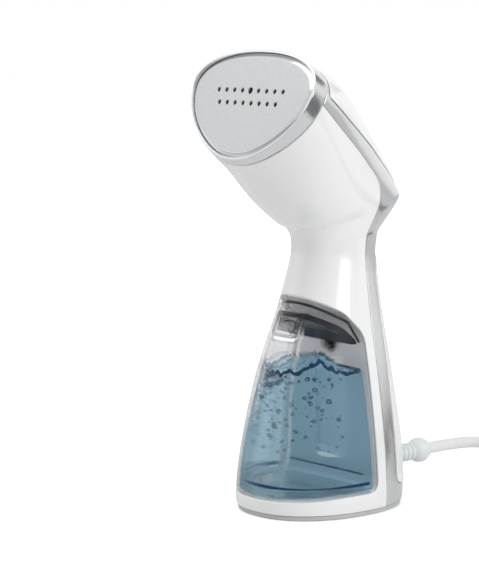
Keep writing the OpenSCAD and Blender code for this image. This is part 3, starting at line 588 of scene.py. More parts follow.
def joinRings(name, rings, body, slot, nodes=(), capStart=True, capEnd=True, closed=False, sharp=50):
    # a solid skinned over equal closed rings; each end is closed by a fan round its middle
    count = len(rings[0])
    verts = [p for ring in rings for p in ring]
    faces = []
    total = len(rings)
    for i in range(total if closed else total - 1):
        a, b = i * count, ((i + 1) % total) * count
        faces += [(a + j, a + (j + 1) % count, b + (j + 1) % count, b + j) for j in range(count)]
    if not closed and capStart:
        verts.append(np.mean(rings[0], 0))
        faces += [(len(verts) - 1, (j + 1) % count, j) for j in range(count)]
    if not closed and capEnd:
        verts.append(np.mean(rings[-1], 0))
        base = (total - 1) * count
        faces += [(len(verts) - 1, base + j, base + (j + 1) % count) for j in range(count)]
    obj = makeObject(name, verts, faces, sharp=sharp)
    return placeBody(obj, body, slot, *nodes)


def joinMeshes(name, parts, sharp=50):
    # several lists of (verts, faces) as one object
    verts, faces = [], []
    for v, f in parts:
        base = len(verts)
        verts += [tuple(p) for p in v]
        faces += [tuple(i + base for i in face) for face in f]
    return makeObject(name, verts, faces, sharp=sharp)


def latheParts(profile, origin, axis, count=48, closed=False):
    # a turned form: profile points are (radius, distance along the axis)
    axis = np.array(axis, float)
    side = unit(np.cross(axis, [0, 0, 1] if abs(axis[2]) < 0.9 else [1, 0, 0]))
    other = np.cross(axis, side)
    a = np.linspace(0, 2 * math.pi, count, endpoint=False)
    spin = np.cos(a)[:, None] * side + np.sin(a)[:, None] * other
    rings = [np.array(origin) + axis * z + spin * r for r, z in profile]
    verts = [p for ring in rings for p in ring]
    faces = []
    total = len(rings)
    for i in range(total if closed else total - 1):
        p, q = i * count, ((i + 1) % total) * count
        faces += [(p + (j + 1) % count, p + j, q + j, q + (j + 1) % count) for j in range(count)]
    if not closed:
        faces.append(tuple(range(count)))
        faces.append(tuple(range((total - 1) * count + count - 1, (total - 1) * count - 1, -1)))
    return verts, faces


# the collar round the steam face: outside, rim, lip and inner wall
collarPiece = {"wall": 2.2, "lip": 1.4, "rimRound": 0.7, "lipRound": 0.3, "plateDepth": 3.6, "samples": 360}


def faceOutline(inset, count):
    level = bodyLevels[-1].copy()
    level[3:6] -= inset
    level[0:3] = 0
    turn = np.radians(np.linspace(-90, 270, 1441))
    c, s = np.cos(turn), np.sin(turn)
    x = level[3] * np.sign(c) * np.abs(c) ** (2 / level[6]) * (1 + level[7] * s)
    y = np.where(s >= 0, level[5], level[4]) * np.sign(s) * np.abs(s) ** (2 / level[6])
    ring = np.stack([x, y], 1)
    run = np.concatenate([[0], np.cumsum(np.linalg.norm(np.diff(ring, axis=0), axis=1))])
    share = np.linspace(0, run[-1], count + 1)[:-1]
    return np.stack([np.interp(share, run, ring[:, 0]), np.interp(share, run, ring[:, 1])], 1)


def onFace(xy, depth):
    xy = np.asarray(xy)
    return faceMiddle + xy[..., :1] * alongX + xy[..., 1:2] * faceUp + np.asarray(depth)[..., None] * faceOut


def makeCollar():
    n = collarPiece["samples"]
    w = np.arange(n) / n
    half = np.vstack([collar, mirrored(collar, 0.5)[1:]])
    low = np.interp(w, half[:, 0], half[:, 1]) + shells["gap"] + 0.1
    e = shells["edge"]
    rings = []
    base, normal = pointAt(w, low)
    rings.append(base - normal * collarPiece["wall"])
    for deg in (90, 60, 30, 0):
        a = math.radians(deg)
        p, nr = pointAt(w, low + e * (1 - math.sin(a)))
        rings.append(p - nr * e * (1 - math.cos(a)))
    r = collarPiece["rimRound"]
    for k in range(1, 13):
        p, nr = pointAt(w, low + e + (riseTop - r - low - e) * k / 12)
        rings.append(p)
    topPoint, topNormal = pointAt(w, riseTop)
    centre = topPoint - topNormal * r - faceOut * r
    for deg in (30, 60, 90):
        a = math.radians(deg)
        rings.append(centre + topNormal * r * math.cos(a) + faceOut * r * math.sin(a))
    q = collarPiece["lipRound"]
    lip = faceOutline(collarPiece["lip"], n)
    outer = faceOutline(collarPiece["lip"] - q, n)
    rings.append(onFace(outer, 0 * w))
    rings.append(onFace(outer + (lip - outer) * 0.7, 0 * w - q * 0.3))
    rings.append(onFace(lip, 0 * w - q))
    rings.append(onFace(lip, 0 * w - 1.9))
    rings.append(onFace(lip, 0 * w - collarPiece["plateDepth"] - 0.6))
    p, nr = pointAt(w, np.maximum(low + 0.6, riseTop - 6))
    rings.append(p - nr * collarPiece["wall"])
    return joinRings("steamCollar", rings, "housing", "silver_shell", ["head_collar"], closed=True, sharp=35)


steamCollar = makeCollar()

# the steam plate: a polished bevel, a faintly domed field and seventeen holes with broken edges
plate = {"inset": 1.6, "bevel": 2.9, "top": -0.1, "edgeTop": -2.3, "bottom": -3.55, "dome": 0.5,
         "pitch": 7.1, "upperRow": 8.3, "lowerRow": 0.7, "hole": 1.25, "bigHole": 1.8, "chamfer": 0.35}


def plateHoles():
    upper = [(i * plate["pitch"], plate["upperRow"], plate["bigHole"] if i == 0 else plate["hole"])
             for i in range(-4, 5)]
    lower = [((i + 0.5) * plate["pitch"], plate["lowerRow"], plate["hole"]) for i in range(-4, 4)]
    return upper + lower


def makeFacePlate():
    count = 288
    field = faceOutline(plate["inset"] + plate["bevel"], count)
    holes = [circle(r + plate["chamfer"], 24) + [x, y] for x, y, r in plateHoles()]
    co, tris, order = fillRegion([field] + holes, 1.9)
    rim = distanceToLoop(co, field)
    dome = plate["dome"] * (1 - (1 - np.clip(rim / 30, 0, 1)) ** 2)
    verts = [p for p in onFace(co, plate["top"] - plate["dome"] + dome)]
    faces = [tuple(t) for t in tris]
    ringIds = order[0]

    def addRing(previous, ring):
        base = len(verts)
        verts.extend(ring)
        m = len(previous)
        faces.extend((previous[(k + 1) % m], previous[k], base + k, base + (k + 1) % m) for k in range(m))
        return list(range(base, base + m))

    start = co[ringIds]
    for inset, depth in ((plate["inset"] + plate["bevel"] - 0.25, plate["top"] - plate["dome"] - 0.06),
                         (plate["inset"] + 0.2, plate["edgeTop"] + 0.12),
                         (plate["inset"], plate["edgeTop"] - 0.1),
                         (plate["inset"], plate["bottom"])):
        ring = faceOutline(inset, count)
        shift = int(np.argmin(np.linalg.norm(ring - start[0] * 1.03, axis=1)))
        forward = np.roll(ring, -shift, 0)
        backward = np.roll(ring[::-1], -(count - 1 - shift), 0)
        near = np.linalg.norm(forward[5] - start[5]) < np.linalg.norm(backward[5] - start[5])
        ringIds = addRing(ringIds, onFace(forward if near else backward, np.full(count, depth)))
    verts.append(faceMiddle + faceOut * plate["bottom"])
    m = len(ringIds)
    for k, (x, y, r) in enumerate(plateHoles()):
        ids = order[k + 1]
        around = unit(co[ids] - [x, y])
        top = float(np.mean([(verts[i] - faceMiddle) @ faceOut for i in ids]))
        for radius, depth in ((r + 0.06, top - plate["chamfer"] * 0.8), (r, top - plate["chamfer"] - 0.1),
                              (r, plate["bottom"] + 0.3)):
            ids = addRing(ids, onFace(around * radius + [x, y], np.full(len(ids), depth)))
    obj = makeObject("steamPlate", verts[:-1], faces, sharp=28)
    obj["bevelFrom"] = len(tris)
    return placeBody(obj, "housing", "face_metal", "face_plate")


steamPlate = makeFacePlate()
print("collar and steam plate made")

# the clear tank: a curved front wall with the flap's opening, and a tray of floor, back and sloping top
tank = {"wall": 2.2, "inset": 2.35, "bulgeY": 14.5, "bulgeRadius": 12.9, "bulgeLow": 26.6, "bulgeHigh": 92.4,
        "across": 56, "waterFree": 83.6, "crest": 6.5, "floorThick": 4.6}
# the opening reaches below the flap, so that its lower edge has room to swing round the pin
flapBox = roundedBox(-flap["halfWide"] + 0.2, flap["low"] - 1.9, flap["halfWide"] - 0.2, flap["high"] - 0.2,
                     flap["corner"])
flapHole = loopOnFront(flapBox, (0, 0.25))
tankWall = shellPatch("tankWall", [windowHole, flapHole], 0, tank["wall"], 0.3, shells["tankGap"],
                      shells["spacing"])
placeBody(tankWall, "tank", "clear_tank", "water_tank")
flapEdge = roundedBox(-flap["halfWide"] + 0.4, flap["low"], flap["halfWide"] - 0.4, flap["high"] - 0.4,
                      flap["corner"])
flapLoop = loopOnFront(flapEdge, (0, 0.25))
fillFlap = shellPatch("fillFlap", [flapLoop], 0, flap["thick"], 0.15, 0.02, 1.4)
placeBody(fillFlap, "fill_flap", "clear_tank", "fill_flap")


levelTable = np.linspace(0, 6.5, 131)
levelHeights = np.array([levelAt(t)[1] for t in levelTable])
levelRows = np.array([levelAt(t) for t in levelTable])


def rowAtHeight(z):
    return np.array([np.interp(z, levelHeights, levelRows[:, k]) for k in range(8)])


def halfWidth(y, z, inset):
    row = rowAtHeight(z)
    a = row[3] - inset
    v = y - row[0]
    reach = (row[5] if v > 0 else row[4]) - inset
    s = min(abs(v) / max(reach, 1e-6), 1) ** (row[6] / 2)
    return a * max(0, 1 - s * s) ** (1 / row[6]) * (1 + row[7] * s * (1 if v > 0 else -1))


def bulgePush(x, z, radius):
    # how far the pump's pocket pushes the back wall forward
    if abs(x) >= radius:
        return 1e9
    y = tank["bulgeY"] - math.sqrt(radius ** 2 - x * x)
    middle, half = (tank["bulgeLow"] + tank["bulgeHigh"]) / 2, (tank["bulgeHigh"] - tank["bulgeLow"]) / 2
    rest = half - abs(z - middle)
    shrink = radius - tank["bulgeRadius"]
    rest += shrink
    if rest <= 0:
        return 1e9
    if rest < 11:
        y = tank["bulgeY"] - (tank["bulgeY"] - y) * math.sqrt(max(0, 1 - ((11 - rest) / 11) ** 2))
    return y


def makeTray():
    profile = roundedLine([(-48.6, 12.2), (-10, 13.9), (10.4, 13.9), (10.4, 106.5), (-2, 119),
                           (-17.5, 126.6)], [60, 6.5, 14, 24], 1.3)
    tangent = unit(np.gradient(profile, axis=0))
    inward = np.stack([-tangent[:, 1], tangent[:, 0]], 1)
    across = tank["across"]
    sheets = []
    for depth, radius in ((0, tank["bulgeRadius"] - 1.8), (tank["wall"], tank["bulgeRadius"])):
        isFloor = np.clip((14.2 - profile[:, 1]) / 0.6, 0, 1) * np.clip((9 - profile[:, 0]) / 6, 0, 1)
        extra = (tank["floorThick"] - tank["wall"]) * isFloor * (depth > 0)
        line = profile + inward * (depth + extra)[:, None]
        rows = []
        for y, z in line:
            wide = halfWidth(y, z, tank["inset"])
            xs = np.sin(np.linspace(-math.pi / 2, math.pi / 2, across + 1)) * wide
            xs = 0.5 * xs + 0.5 * np.linspace(-wide, wide, across + 1)
            rows.append([(x, min(y, bulgePush(x, z, radius)) if z > 16 else y, z) for x in xs])
        sheets.append(rows)
    count, wide = len(profile), across + 1
    verts = [p for sheet in sheets for row in sheet for p in row]
    faces = []
    second = count * wide
    for i in range(count - 1):
        for j in range(wide - 1):
            a = i * wide + j
            faces.append((a, a + wide, a + wide + 1, a + 1))
            b = a + second
            faces.append((b, b + 1, b + wide + 1, b + wide))
    edge = [i * wide for i in range(count)] + [(count - 1) * wide + j for j in range(1, wide)]
    edge += [i * wide + wide - 1 for i in range(count - 2, -1, -1)] + [j for j in range(wide - 2, 0, -1)]
    for a, b in zip(edge, edge[1:] + edge[:1]):
        faces.append((a, a + second, b + second, b))
    obj = makeObject("tankTray", verts, faces, sharp=40)
    return placeBody(obj, "tank", "clear_tank")


tankTray = makeTray()


def waveAt(x, y):
    # the water's surface: one long crest across the tank, with waves and ripples on it
    u = x * 0.67 + y * 0.74
    w = x * 0.74 - y * 0.67
    h = tank["waterFree"] + tank["crest"] * math.exp(-((u - 1) / 13) ** 2)
    h += 0.8 * math.sin(u * 0.31 + 0.9) + 0.5 * math.sin(u * 0.67 + w * 0.2)
    h += 0.5 * math.sin(w * 0.45 + u * 0.3)
    return h + 0.42 * math.sin(u * 1.25 + w * 0.7 + 1) + 0.3 * math.sin(w * 1.6 - u * 0.9)


def waterRing(z, count=200, inset=2.1):
    # one level of the water: the curved front and the back wall with the pump's pocket
    row = rowAtHeight(z)
    back = 10.4 - tank["wall"] + 0.1
    turn = np.radians(np.linspace(-90, 90, 241))
    c, s = np.cos(turn), np.sin(turn)
    x = (row[3] - inset) * np.abs(c) ** (2 / row[6]) * (1 + row[7] * s)
    v = np.where(s >= 0, row[5] - inset, row[4] - inset) * np.sign(s) * np.abs(s) ** (2 / row[6])
    right = np.stack([x, row[0] + v], 1)
    right = right[right[:, 1] < back - 1.5]
    corner = halfWidth(back, z, inset)
    right = np.vstack([right, [[corner + 0.1, back - 0.8], [corner - 0.9, back]]])
    run = np.concatenate([[0], np.cumsum(np.linalg.norm(np.diff(right, axis=0), axis=1))])
    share = np.linspace(0, run[-1], count // 2 + 1)
    right = np.stack([np.interp(share, run, right[:, 0]), np.interp(share, run, right[:, 1])], 1)
    xs = np.linspace(right[-1, 0], -right[-1, 0], count // 2 + 1)[1:-1]
    backSide = np.array([(q, min(back, bulgePush(q, z, tank["bulgeRadius"] - 0.1))) for q in xs])
    left = right[::-1][:-1] * [-1, 1]
    return np.vstack([right, backSide, left])


def makeWater():
    rings = []
    levels = 60
    low = 13.2
    for k in range(levels + 1):
        share = k / levels
        z0 = low + (waveAt(0, -10) - low) * share
        flat = waterRing(z0)
        ease = share ** 3
        lowEase = (1 - share) ** 6
        z = z0 + ease * (np.array([waveAt(x, y) for x, y in flat]) - waveAt(0, -10))
        z += lowEase * (np.interp(flat[:, 1], [-48.6, -10, 8], [-0.15, 1.75, 1.9]))
        rings.append(np.column_stack([flat, z]))
    top = rings[-1]
    centre = np.array([0, -14.0])
    for f in np.linspace(1, 0.03, 44)[1:]:
        flat = centre + (top[:, :2] - centre) * f
        rings.append(np.column_stack([flat, [waveAt(x, y) for x, y in flat]]))
    return joinRings("tankWater", rings, "tank", "clear_tank", sharp=60)


tankWater = makeWater()


def makeLid():
    # a smoked lid that follows the tank's sloping top; the funnel over the pick-up hose is made apart
    line = roundedLine([(8.0, 100.5), (8.0, 103.5), (-1.4, 112.8), (-18.2, 121.2)], [8, 20], 1.2)
    tangent = unit(np.gradient(line, axis=0))
    inward = np.stack([-tangent[:, 1], tangent[:, 0]], 1)
    across, thick, drop = 40, 3.4, 2.2
    verts, faces = [], []
    for depth in (drop, drop + thick):
        for (y, z), (dy, dz) in zip(line, inward):
            wide = halfWidth(y + dy * depth, z + dz * depth, 2.6)
            verts += [(x, y + dy * depth, z + dz * depth) for x in np.linspace(-wide, wide, across + 1)]
    count, wide = len(line), across + 1
    second = count * wide
    for i in range(count - 1):
        for j in range(wide - 1):
            a = i * wide + j
            faces += [(a, a + wide, a + wide + 1, a + 1),
                      (a + second, a + 1 + second, a + wide + 1 + second, a + wide + second)]
    edge = [i * wide for i in range(count)] + [(count - 1) * wide + j for j in range(1, wide)]
    edge += [i * wide + wide - 1 for i in range(count - 2, -1, -1)] + [j for j in range(wide - 2, 0, -1)]
    faces += [(a, a + second, b + second, b) for a, b in zip(edge, edge[1:] + edge[:1])]
    obj = makeObject("tankLid", [tuple(p) for p in verts], faces, sharp=40)
    return placeBody(obj, "tank", "dark_lid", "tank_lid")


def makeFunnel():
    # the clear parts under the lid: the hose's funnel and the docking spigot
    funnel = [(2.9, 5.2), (2.2, 5.2), (1.3, 0), (1.3, -5), (2.0, -5), (2.0, -0.4), (3.2, 1.2), (6.0, 4.4),
              (6.3, 5.2), (5.8, 5.4)]
    spigot = [(1.6, 0), (3.7, 0), (3.95, 0.3), (3.95, 12.5), (3.5, 13), (1.6, 13)]
    parts = [latheParts(funnel, (0, -13.5, 112), (0, 0, 1), 40, closed=True),
             latheParts(spigot, (0, 6, 98), (0, 1, 0), 40, closed=True)]
    return placeBody(joinMeshes("lidFunnel", parts, 40), "tank", "clear_tank")


lidFunnel = makeFunnel()
tankLid = makeLid()


def strandParts(line, thick, high):
    # a bar swept along an open line, its half thickness and half height given at each point
    line = np.array(line, float)
    tangent = unit(np.gradient(line, axis=0))
    side = unit(np.cross(tangent, alongZ))
    up = np.cross(side, tangent)
    n = 8
    turns = np.linspace(0, 2 * math.pi, n, endpoint=False)
    verts, faces = [], []
    for p, u, v, a, b in zip(line, side, up, thick, high):
        verts += [p + u * a * math.cos(t) + v * b * math.sin(t) for t in turns]
    for i in range(len(line) - 1):
        faces += [(i * n + k, i * n + (k + 1) % n, (i + 1) * n + (k + 1) % n, (i + 1) * n + k)
                  for k in range(n)]
    faces.append(tuple(range(n - 1, -1, -1)))
    faces.append(tuple(range((len(line) - 1) * n, len(line) * n)))
    return verts, faces


def frontLine(z, inset):
    # the part of a water level along the window, from one side to the other
    ring = waterRing(z, 200, inset)
    ring = ring[ring[:, 1] < 6.5]
    return ring[np.argsort(np.arctan2(ring[:, 0], -(ring[:, 1] + 10)))]


def makeWaterEdgeShade():
    # the ropey rim where the waves climb the wall; its strands are dark to paint the shade along the water's
    # edge
    flat = frontLine(waveAt(0, -20), 2.35)
    random.seed(11)
    parts = []
    for strand in range(3):
        phase = [random.uniform(0, 6.3) for k in range(6)]
        line, high = [], []
        for x, y in flat:
            a = math.atan2(x, -(y + 10))
            z = waveAt(x, y) + 0.1 + 0.75 * math.sin(7 * a + phase[0]) * math.sin(17 * a + phase[1])
            z += 0.5 * math.sin(29 * a + phase[2]) + 0.3 * math.sin(53 * a + phase[3])
            high.append(0.42 + 0.3 * math.sin(23 * a + phase[4]) ** 2
                        + 0.28 * math.sin(41 * a + phase[5]) ** 2)
            line.append((x * 0.985, -10 + (y + 10) * 0.985, z))
        parts.append(strandParts(line, [h * 0.6 for h in high], high))
    obj = joinMeshes("waterEdgeShade", parts, 80)
    return placeBody(obj, "tank", "clear_tank")


def makeFloorEdgeShade():
    # dark strands that paint the shade along the edge of the tank's thick clear floor, round the front and
    # along the back
    front = frontLine(18.4, 3.6)
    count = len(front)
    shape = 0.75 + 0.3 * np.cos(np.linspace(0, 4 * math.pi, count))
    parts = [strandParts([(x, y, 18.4) for x, y in front], [0.5] * count, shape)]
    ring = waterRing(22.5, 200, 3.4)
    back = ring[(ring[:, 1] > 5) & (np.abs(ring[:, 0]) < 33)]
    back = back[np.argsort(back[:, 0])]
    back = back[np.concatenate([[True], np.diff(back[:, 0]) > 0.4])]
    parts.append(strandParts([(x, y - 0.9, 22.5) for x, y in back], [0.45] * len(back), [0.6] * len(back)))
    obj = joinMeshes("floorEdgeShade", parts, 60)
    return placeBody(obj, "tank", "clear_tank")


floorEdgeShade = makeFloorEdgeShade()
waterEdgeShade = makeWaterEdgeShade()


def makeBubbles():
    # air bubbles, mostly under the surface on one side
    random.seed(7)
    mesh = bmesh.new()
    for k in range(220):
        t = random.random() ** 1.6
        z = waveAt(0, -20) - 3.0 - 44 * t
        row = rowAtHeight(z)
        side = random.uniform(-0.75, 1.0)
        limitX = (row[3] - 4.5) * 0.97
        x = limitX * side
        front = row[4] - 4.2
        y = row[0] - front * math.sqrt(max(0.05, 1 - (x / (row[3] - 4)) ** 2)) * random.uniform(0.9, 0.985)
        r = random.uniform(0.4, 0.95) if random.random() < 0.7 else random.uniform(0.95, 1.9)
        r *= 1 - 0.35 * t
        start = len(mesh.verts)
        bmesh.ops.create_icosphere(mesh, subdivisions=3, radius=r * mm)
        mesh.verts.ensure_lookup_table()
        squat = random.uniform(0.85, 0.97)
        for vert in mesh.verts[start:]:
            vert.co = Vector((vert.co.x + x * mm, vert.co.y + y * mm, vert.co.z * squat + z * mm))
    data = bpy.data.meshes.new("waterBubbles")
    mesh.to_mesh(data)
    mesh.free()
    data.shade_smooth()
    obj = bpy.data.objects.new("waterBubbles", data)
    scene.collection.objects.link(obj)
    return placeBody(obj, "tank", "clear_tank")


waterBubbles = makeBubbles()
print("tank and water made")


def onBack(xy, height, at):
    xy = np.asarray(xy, float)
    lift = np.asarray(height, float)[..., None]
    return backLow + xy[..., :1] * alongX + (xy[..., 1:2] + at) * backUp + lift * backOut


def insetStadium(wide, long, inset):
    return stadium(wide - 2 * inset, long - 2 * inset, 0.45)


def evenly(loop, count):
    # the same closed loop with that many points at equal steps
    closed = np.vstack([loop, loop[:1]])
    run = np.concatenate([[0], np.cumsum(np.linalg.norm(np.diff(closed, axis=0), axis=1))])
    share = np.linspace(0, run[-1], count + 1)[:-1]
    return np.stack([np.interp(share, run, closed[:, k]) for k in range(2)], 1)


def makeButton(name, outline, at, top, body, slot, node, dish=0.5, round_=1.1, foot=-1.4):
    # a button with rounded shoulders and a shallow finger dish; outline(inset) gives its loop
    first = outline(0)
    count = len(first)

    rings = [onBack(evenly(first, count), np.full(count, foot), at)]
    for deg in (0, 22, 45, 68, 90):
        a = math.radians(deg)
        loop = evenly(outline(round_ * (1 - math.cos(a))), count)
        rings.append(onBack(loop, np.full(count, top - round_ * (1 - math.sin(a))), at))
    last = evenly(outline(round_), count)
    for f in (0.93, 0.8, 0.62, 0.42, 0.22, 0.05):
        depth = dish * (1 - f * f)
        rings.append(onBack(last * f, np.full(count, top - depth), at))
    return joinRings(name, rings, body, slot, [node], sharp=40)


steamButton = makeButton("steamButton",
                         lambda d: insetStadium(controls["steamWide"], controls["steamLong"], d),
                         controls["steamAt"], controls["steamTop"], "steam_button", "button",
                         "steam_button", 0.9, 1.3)
powerButton = makeButton("powerButton", lambda d: circle(controls["powerRadius"] - d, 56),
                         controls["powerAt"], controls["powerTop"], "power_button", "button",
                         "power_button", 0.5, 0.9, -1.0)
statusLens = makeButton("statusLens", lambda d: circle(controls["lensRadius"] - d, 32),
                        controls["lensAt"], 4.9, "housing", "lens", "indicator_lens", -0.25, 0.4, 1.0)
print("controls made")

# the swivel and its bush
swivel = {"height": 21.5, "bore": 3.85, "journal": 5.0, "sleeve": 5.6, "ball": 7.8, "ribs": 5}


def makeSwivel():
    axis, origin = (0, 1, 0), (0, 0, swivel["height"])
    b, j, s = swivel["bore"], swivel["journal"], swivel["sleeve"]
    profile = [(b, 40.6), (j + 1.3, 40.6), (j + 1.5, 41), (j + 1.5, 42.2), (j + 1.3, 42.4), (j, 42.5),
               (j, 54.2), (s - 0.1, 54.35), (s + 0.5, 54.9), (s + 0.5, 58), (s, 58.8)]
    for k in range(swivel["ribs"]):
        y = 61 + 3.6 * k
        profile += [(s, y), (s - 0.75, y + 0.35), (s - 0.75, y + 1.25), (s, y + 1.6)]
    profile += [(s, 79.2)]
    for deg in range(-54, 63, 9):
        a = math.radians(deg)
        profile.append((swivel["ball"] * math.cos(a), 86.5 + swivel["ball"] * math.sin(a)))
    profile += [(b + 0.9, 93), (b + 0.3, 92.95), (b, 92.5)]
    verts, faces = latheParts(profile, origin, axis, 64, closed=True)
    obj = makeObject("cordSwivel", verts, faces, sharp=35)
    return placeBody(obj, "cord_swivel", "swivel", "cord_swivel")


def makeBush():
    hole = 6.85
    profile = [(5.1, 44.9), (8.3, 44.9), (8.3, 46.6), (hole, 46.8), (hole, 53.3), (hole + 1.5, 53.6),
               (hole + 1.75, 53.95), (hole + 1.6, 54.15), (5.35, 54.2), (5.1, 53.9)]
    verts, faces = latheParts(profile, (0, 0, swivel["height"]), (0, 1, 0), 64, closed=True)
    obj = makeObject("swivelBush", verts, faces, sharp=35)
    return placeBody(obj, "housing", "swivel", "cord_bush")


cordSwivel = makeSwivel()
swivelBush = makeBush()

# the cord: out of the swivel, down to the floor, into a coil of seven turns, and on to the plug
cordFacts = {"radius": 3.6, "exit": (0, 93, 21.5), "coilCentre": (48, 190), "middleRadius": 38.5,
             "floor": 1.2, "turns": 7.25}
cordRoute = [(0, 93, 21.5), (0, 104, 21.5), (0, 115, 21.4), (0, 125, 21), (0, 134, 20.2), (0, 142, 18.9),
             (0, 150, 17), (0, 157, 14.8), (0.1, 164, 12.2), (0.3, 170, 9.8), (0.7, 176, 7.5),
             (1.3, 182, 5.8)]
tailRoute = [(54.5, 228.2, 19.6), (61, 225.6, 21.4), (66.4, 222.3, 23.6), (71, 218, 26), (74.2, 213.4, 28.3),
             (76.6, 208, 30.2), (77.7, 203, 30.9), (78, 199, 31), (78, 195, 31)]


def coilPoints():
    # three turns on the floor, three on top of them and one more on those
    r, turn = cordFacts["radius"], 2 * cordFacts["radius"]
    mid, low = cordFacts["middleRadius"], cordFacts["floor"] + r
    spots = [(mid + turn, low), (mid, low), (mid - turn, low), (mid - turn, low + turn), (mid, low + turn),
             (mid + turn, low + turn), (mid, low + 2 * turn), (mid, low + 2 * turn)]
    points = []
    perTurn = 30
    total = int(cordFacts["turns"] * perTurn)
    random.seed(3)
    wander = [random.uniform(-1, 1) for k in range(9)]
    for k in range(total + 1):
        f = k / perTurn
        i = min(int(f), len(spots) - 2)
        share = min(1, max(0, (f - i - 0.72) / 0.28))
        share = share * share * (3 - 2 * share)
        radius = spots[i][0] * (1 - share) + spots[i + 1][0] * share
        height = spots[i][1] * (1 - share) + spots[i + 1][1] * share
        wave = 0.12 * math.sin(2 * math.pi * f + 6 * wander[i])
        a = math.pi - 2 * math.pi * f
        points.append((cordFacts["coilCentre"][0] + (radius + wave) * math.cos(a),
                       cordFacts["coilCentre"][1] + (radius + wave) * math.sin(a), height))
    return points


def tubeMesh(name, points, radius, body, slot, replaced, around=20):
    # a round tube that follows the points, its rings carried along without twisting
    line = np.array(points, float)
    tangents = unit(np.gradient(line, axis=0))
    side = unit(np.cross(tangents[0], (0.3, 0.5, 0.81)))
    turns = np.linspace(0, 2 * math.pi, around, endpoint=False)
    rings = []
    for spot, along in zip(line, tangents):
        side = unit(side - along * np.dot(side, along))
        up = np.cross(along, side)
        rings.append([spot + radius * (math.cos(t) * side + math.sin(t) * up) for t in turns])
    return joinRings(name, [np.array(r) for r in rings], body, slot, replaced, sharp=80)


def smoothLine(points, step=2.2):
    return [tuple(p) for p in curveThrough(points, step)]


coil = coilPoints()
cordLine = smoothLine(cordRoute + coil + tailRoute, 1.6)
mainsCord = tubeMesh("mainsCord", cordLine, cordFacts["radius"], "housing", "cord",
                     ["power_cord", "cord_coil", "cord_tail"])

# the plug: a moulded grip with ribs, its relief and two blades
plug = {"middle": (78, 172, 31)}


def softRect(wide, thick, power=3.6, count=64):
    a = np.linspace(0, 2 * math.pi, count, endpoint=False)
    c, s = np.cos(a), np.sin(a)
    return np.stack([wide / 2 * np.sign(c) * np.abs(c) ** (2 / power),
                     thick / 2 * np.sign(s) * np.abs(s) ** (2 / power)], 1)


def makePlug():
    x0, z0 = plug["middle"][0], plug["middle"][2]
    sections = [(158.0, 21.5, 13.5), (158.3, 22.6, 14.6), (159.2, 23.6, 15.6), (160.5, 24, 16), (166, 24, 16)]
    for k in range(4):
        y = 167.2 + 3.1 * k
        shrink = 0.9 * k
        sections += [(y, 24 - shrink, 16), (y + 0.4, 22.6 - shrink, 14.8), (y + 1.2, 22.6 - shrink, 14.8),
                     (y + 1.6, 23.9 - shrink, 16)]
    sections += [(181, 19.6, 15), (183.6, 16.2, 13.2), (185.4, 12.6, 11.8), (186, 11.2, 11)]
    for k in range(3):
        y = 187.2 + 2.7 * k
        sections += [(y, 10.6, 10.6), (y + 0.3, 9.3, 9.3), (y + 1.0, 9.3, 9.3), (y + 1.3, 10.4, 10.4)]
    sections += [(195.3, 9.9, 9.9), (195.8, 8.6, 8.6)]
    rings = []
    for y, wide, thick in sections:
        ring = softRect(wide, thick, 3.6 if y < 182 else (2.6 if y < 185.5 else 2))
        rings.append(np.column_stack([x0 + ring[:, 0], np.full(len(ring), y), z0 + ring[:, 1]]))
    return joinRings("mainsPlug", rings, "housing", "cord", ["plug_body"], sharp=42)


def makeBlades():
    parts = []
    for side in (-1, 1):
        rings = []
        for y, wide, thick in ((157.5, 6.2, 1.5), (143.5, 6.2, 1.5), (141.8, 5.4, 1.3), (141.1, 4.2, 0.7)):
            loop = roundedBox(-thick / 2, -wide / 2, thick / 2, wide / 2, min(0.3, thick / 3), 0.5)[::1]
            loop = loop[np.linspace(0, len(loop) - 1, 32).astype(int)]
            rings.append(np.column_stack([plug["middle"][0] + side * 6.35 + loop[:, 0],
                                          np.full(32, y), plug["middle"][2] + loop[:, 1]]))
        count = 32
        verts = [p for ring in rings for p in ring]
        faces = [(i * count + j, (i + 1) * count + j, (i + 1) * count + (j + 1) % count,
                  i * count + (j + 1) % count)
                 for i in range(len(rings) - 1) for j in range(count)]
        faces.append(tuple(range((len(rings) - 1) * count + count - 1, (len(rings) - 1) * count - 1, -1)))
        faces.append(tuple(range(count)))
        parts.append((verts, faces))
    obj = joinMeshes("plugBlades", parts, 40)
    return placeBody(obj, "housing", "plug_metal", "plug_blades")


mainsPlug = makePlug()
plugBlades = makeBlades()


def makeTie():
    # a silicone strap round the winding; the button that holds it is not made here
    x0, y0 = cordFacts["coilCentre"][0], cordFacts["coilCentre"][1] - cordFacts["middleRadius"]
    inner = roundedBox(-11.1, 1.05, 11.6, 23.3, 4.2, 1.0)
    outer = roundedBox(-12.2, 0, 12.7, 24.2, 5.2, 1.0)
    count = 120

    inner, outer = evenly(inner, count), evenly(outer, count)
    rings = []
    for x, loop in ((-4.6, inner), (-5, inner + (outer - inner) * 0.5), (-4.6, outer), (-3.2, outer),
                    (3.2, outer), (4.6, outer), (5, inner + (outer - inner) * 0.5), (4.6, inner)):
        rings.append(np.column_stack([np.full(count, x0 + x), y0 + loop[:, 0], loop[:, 1]]))
    return joinRings("cordTie", rings, "housing", "tie", ["cord_tie"], closed=True, sharp=60)


cordTie = makeTie()
print("cord, plug and tie made")

# the foot's grey plate
foot = {"plateInset": 0.5, "plateHigh": 2.75}


def footRing(inset, z):
    ring = ringOf(bodyLevels[0])[:-1:2]
    centre = np.array([0, bodyLevels[0][0], 0])
    out = unit(ring - centre)
    return np.column_stack([(ring - out * inset)[:, :2], np.full(len(ring), z)])


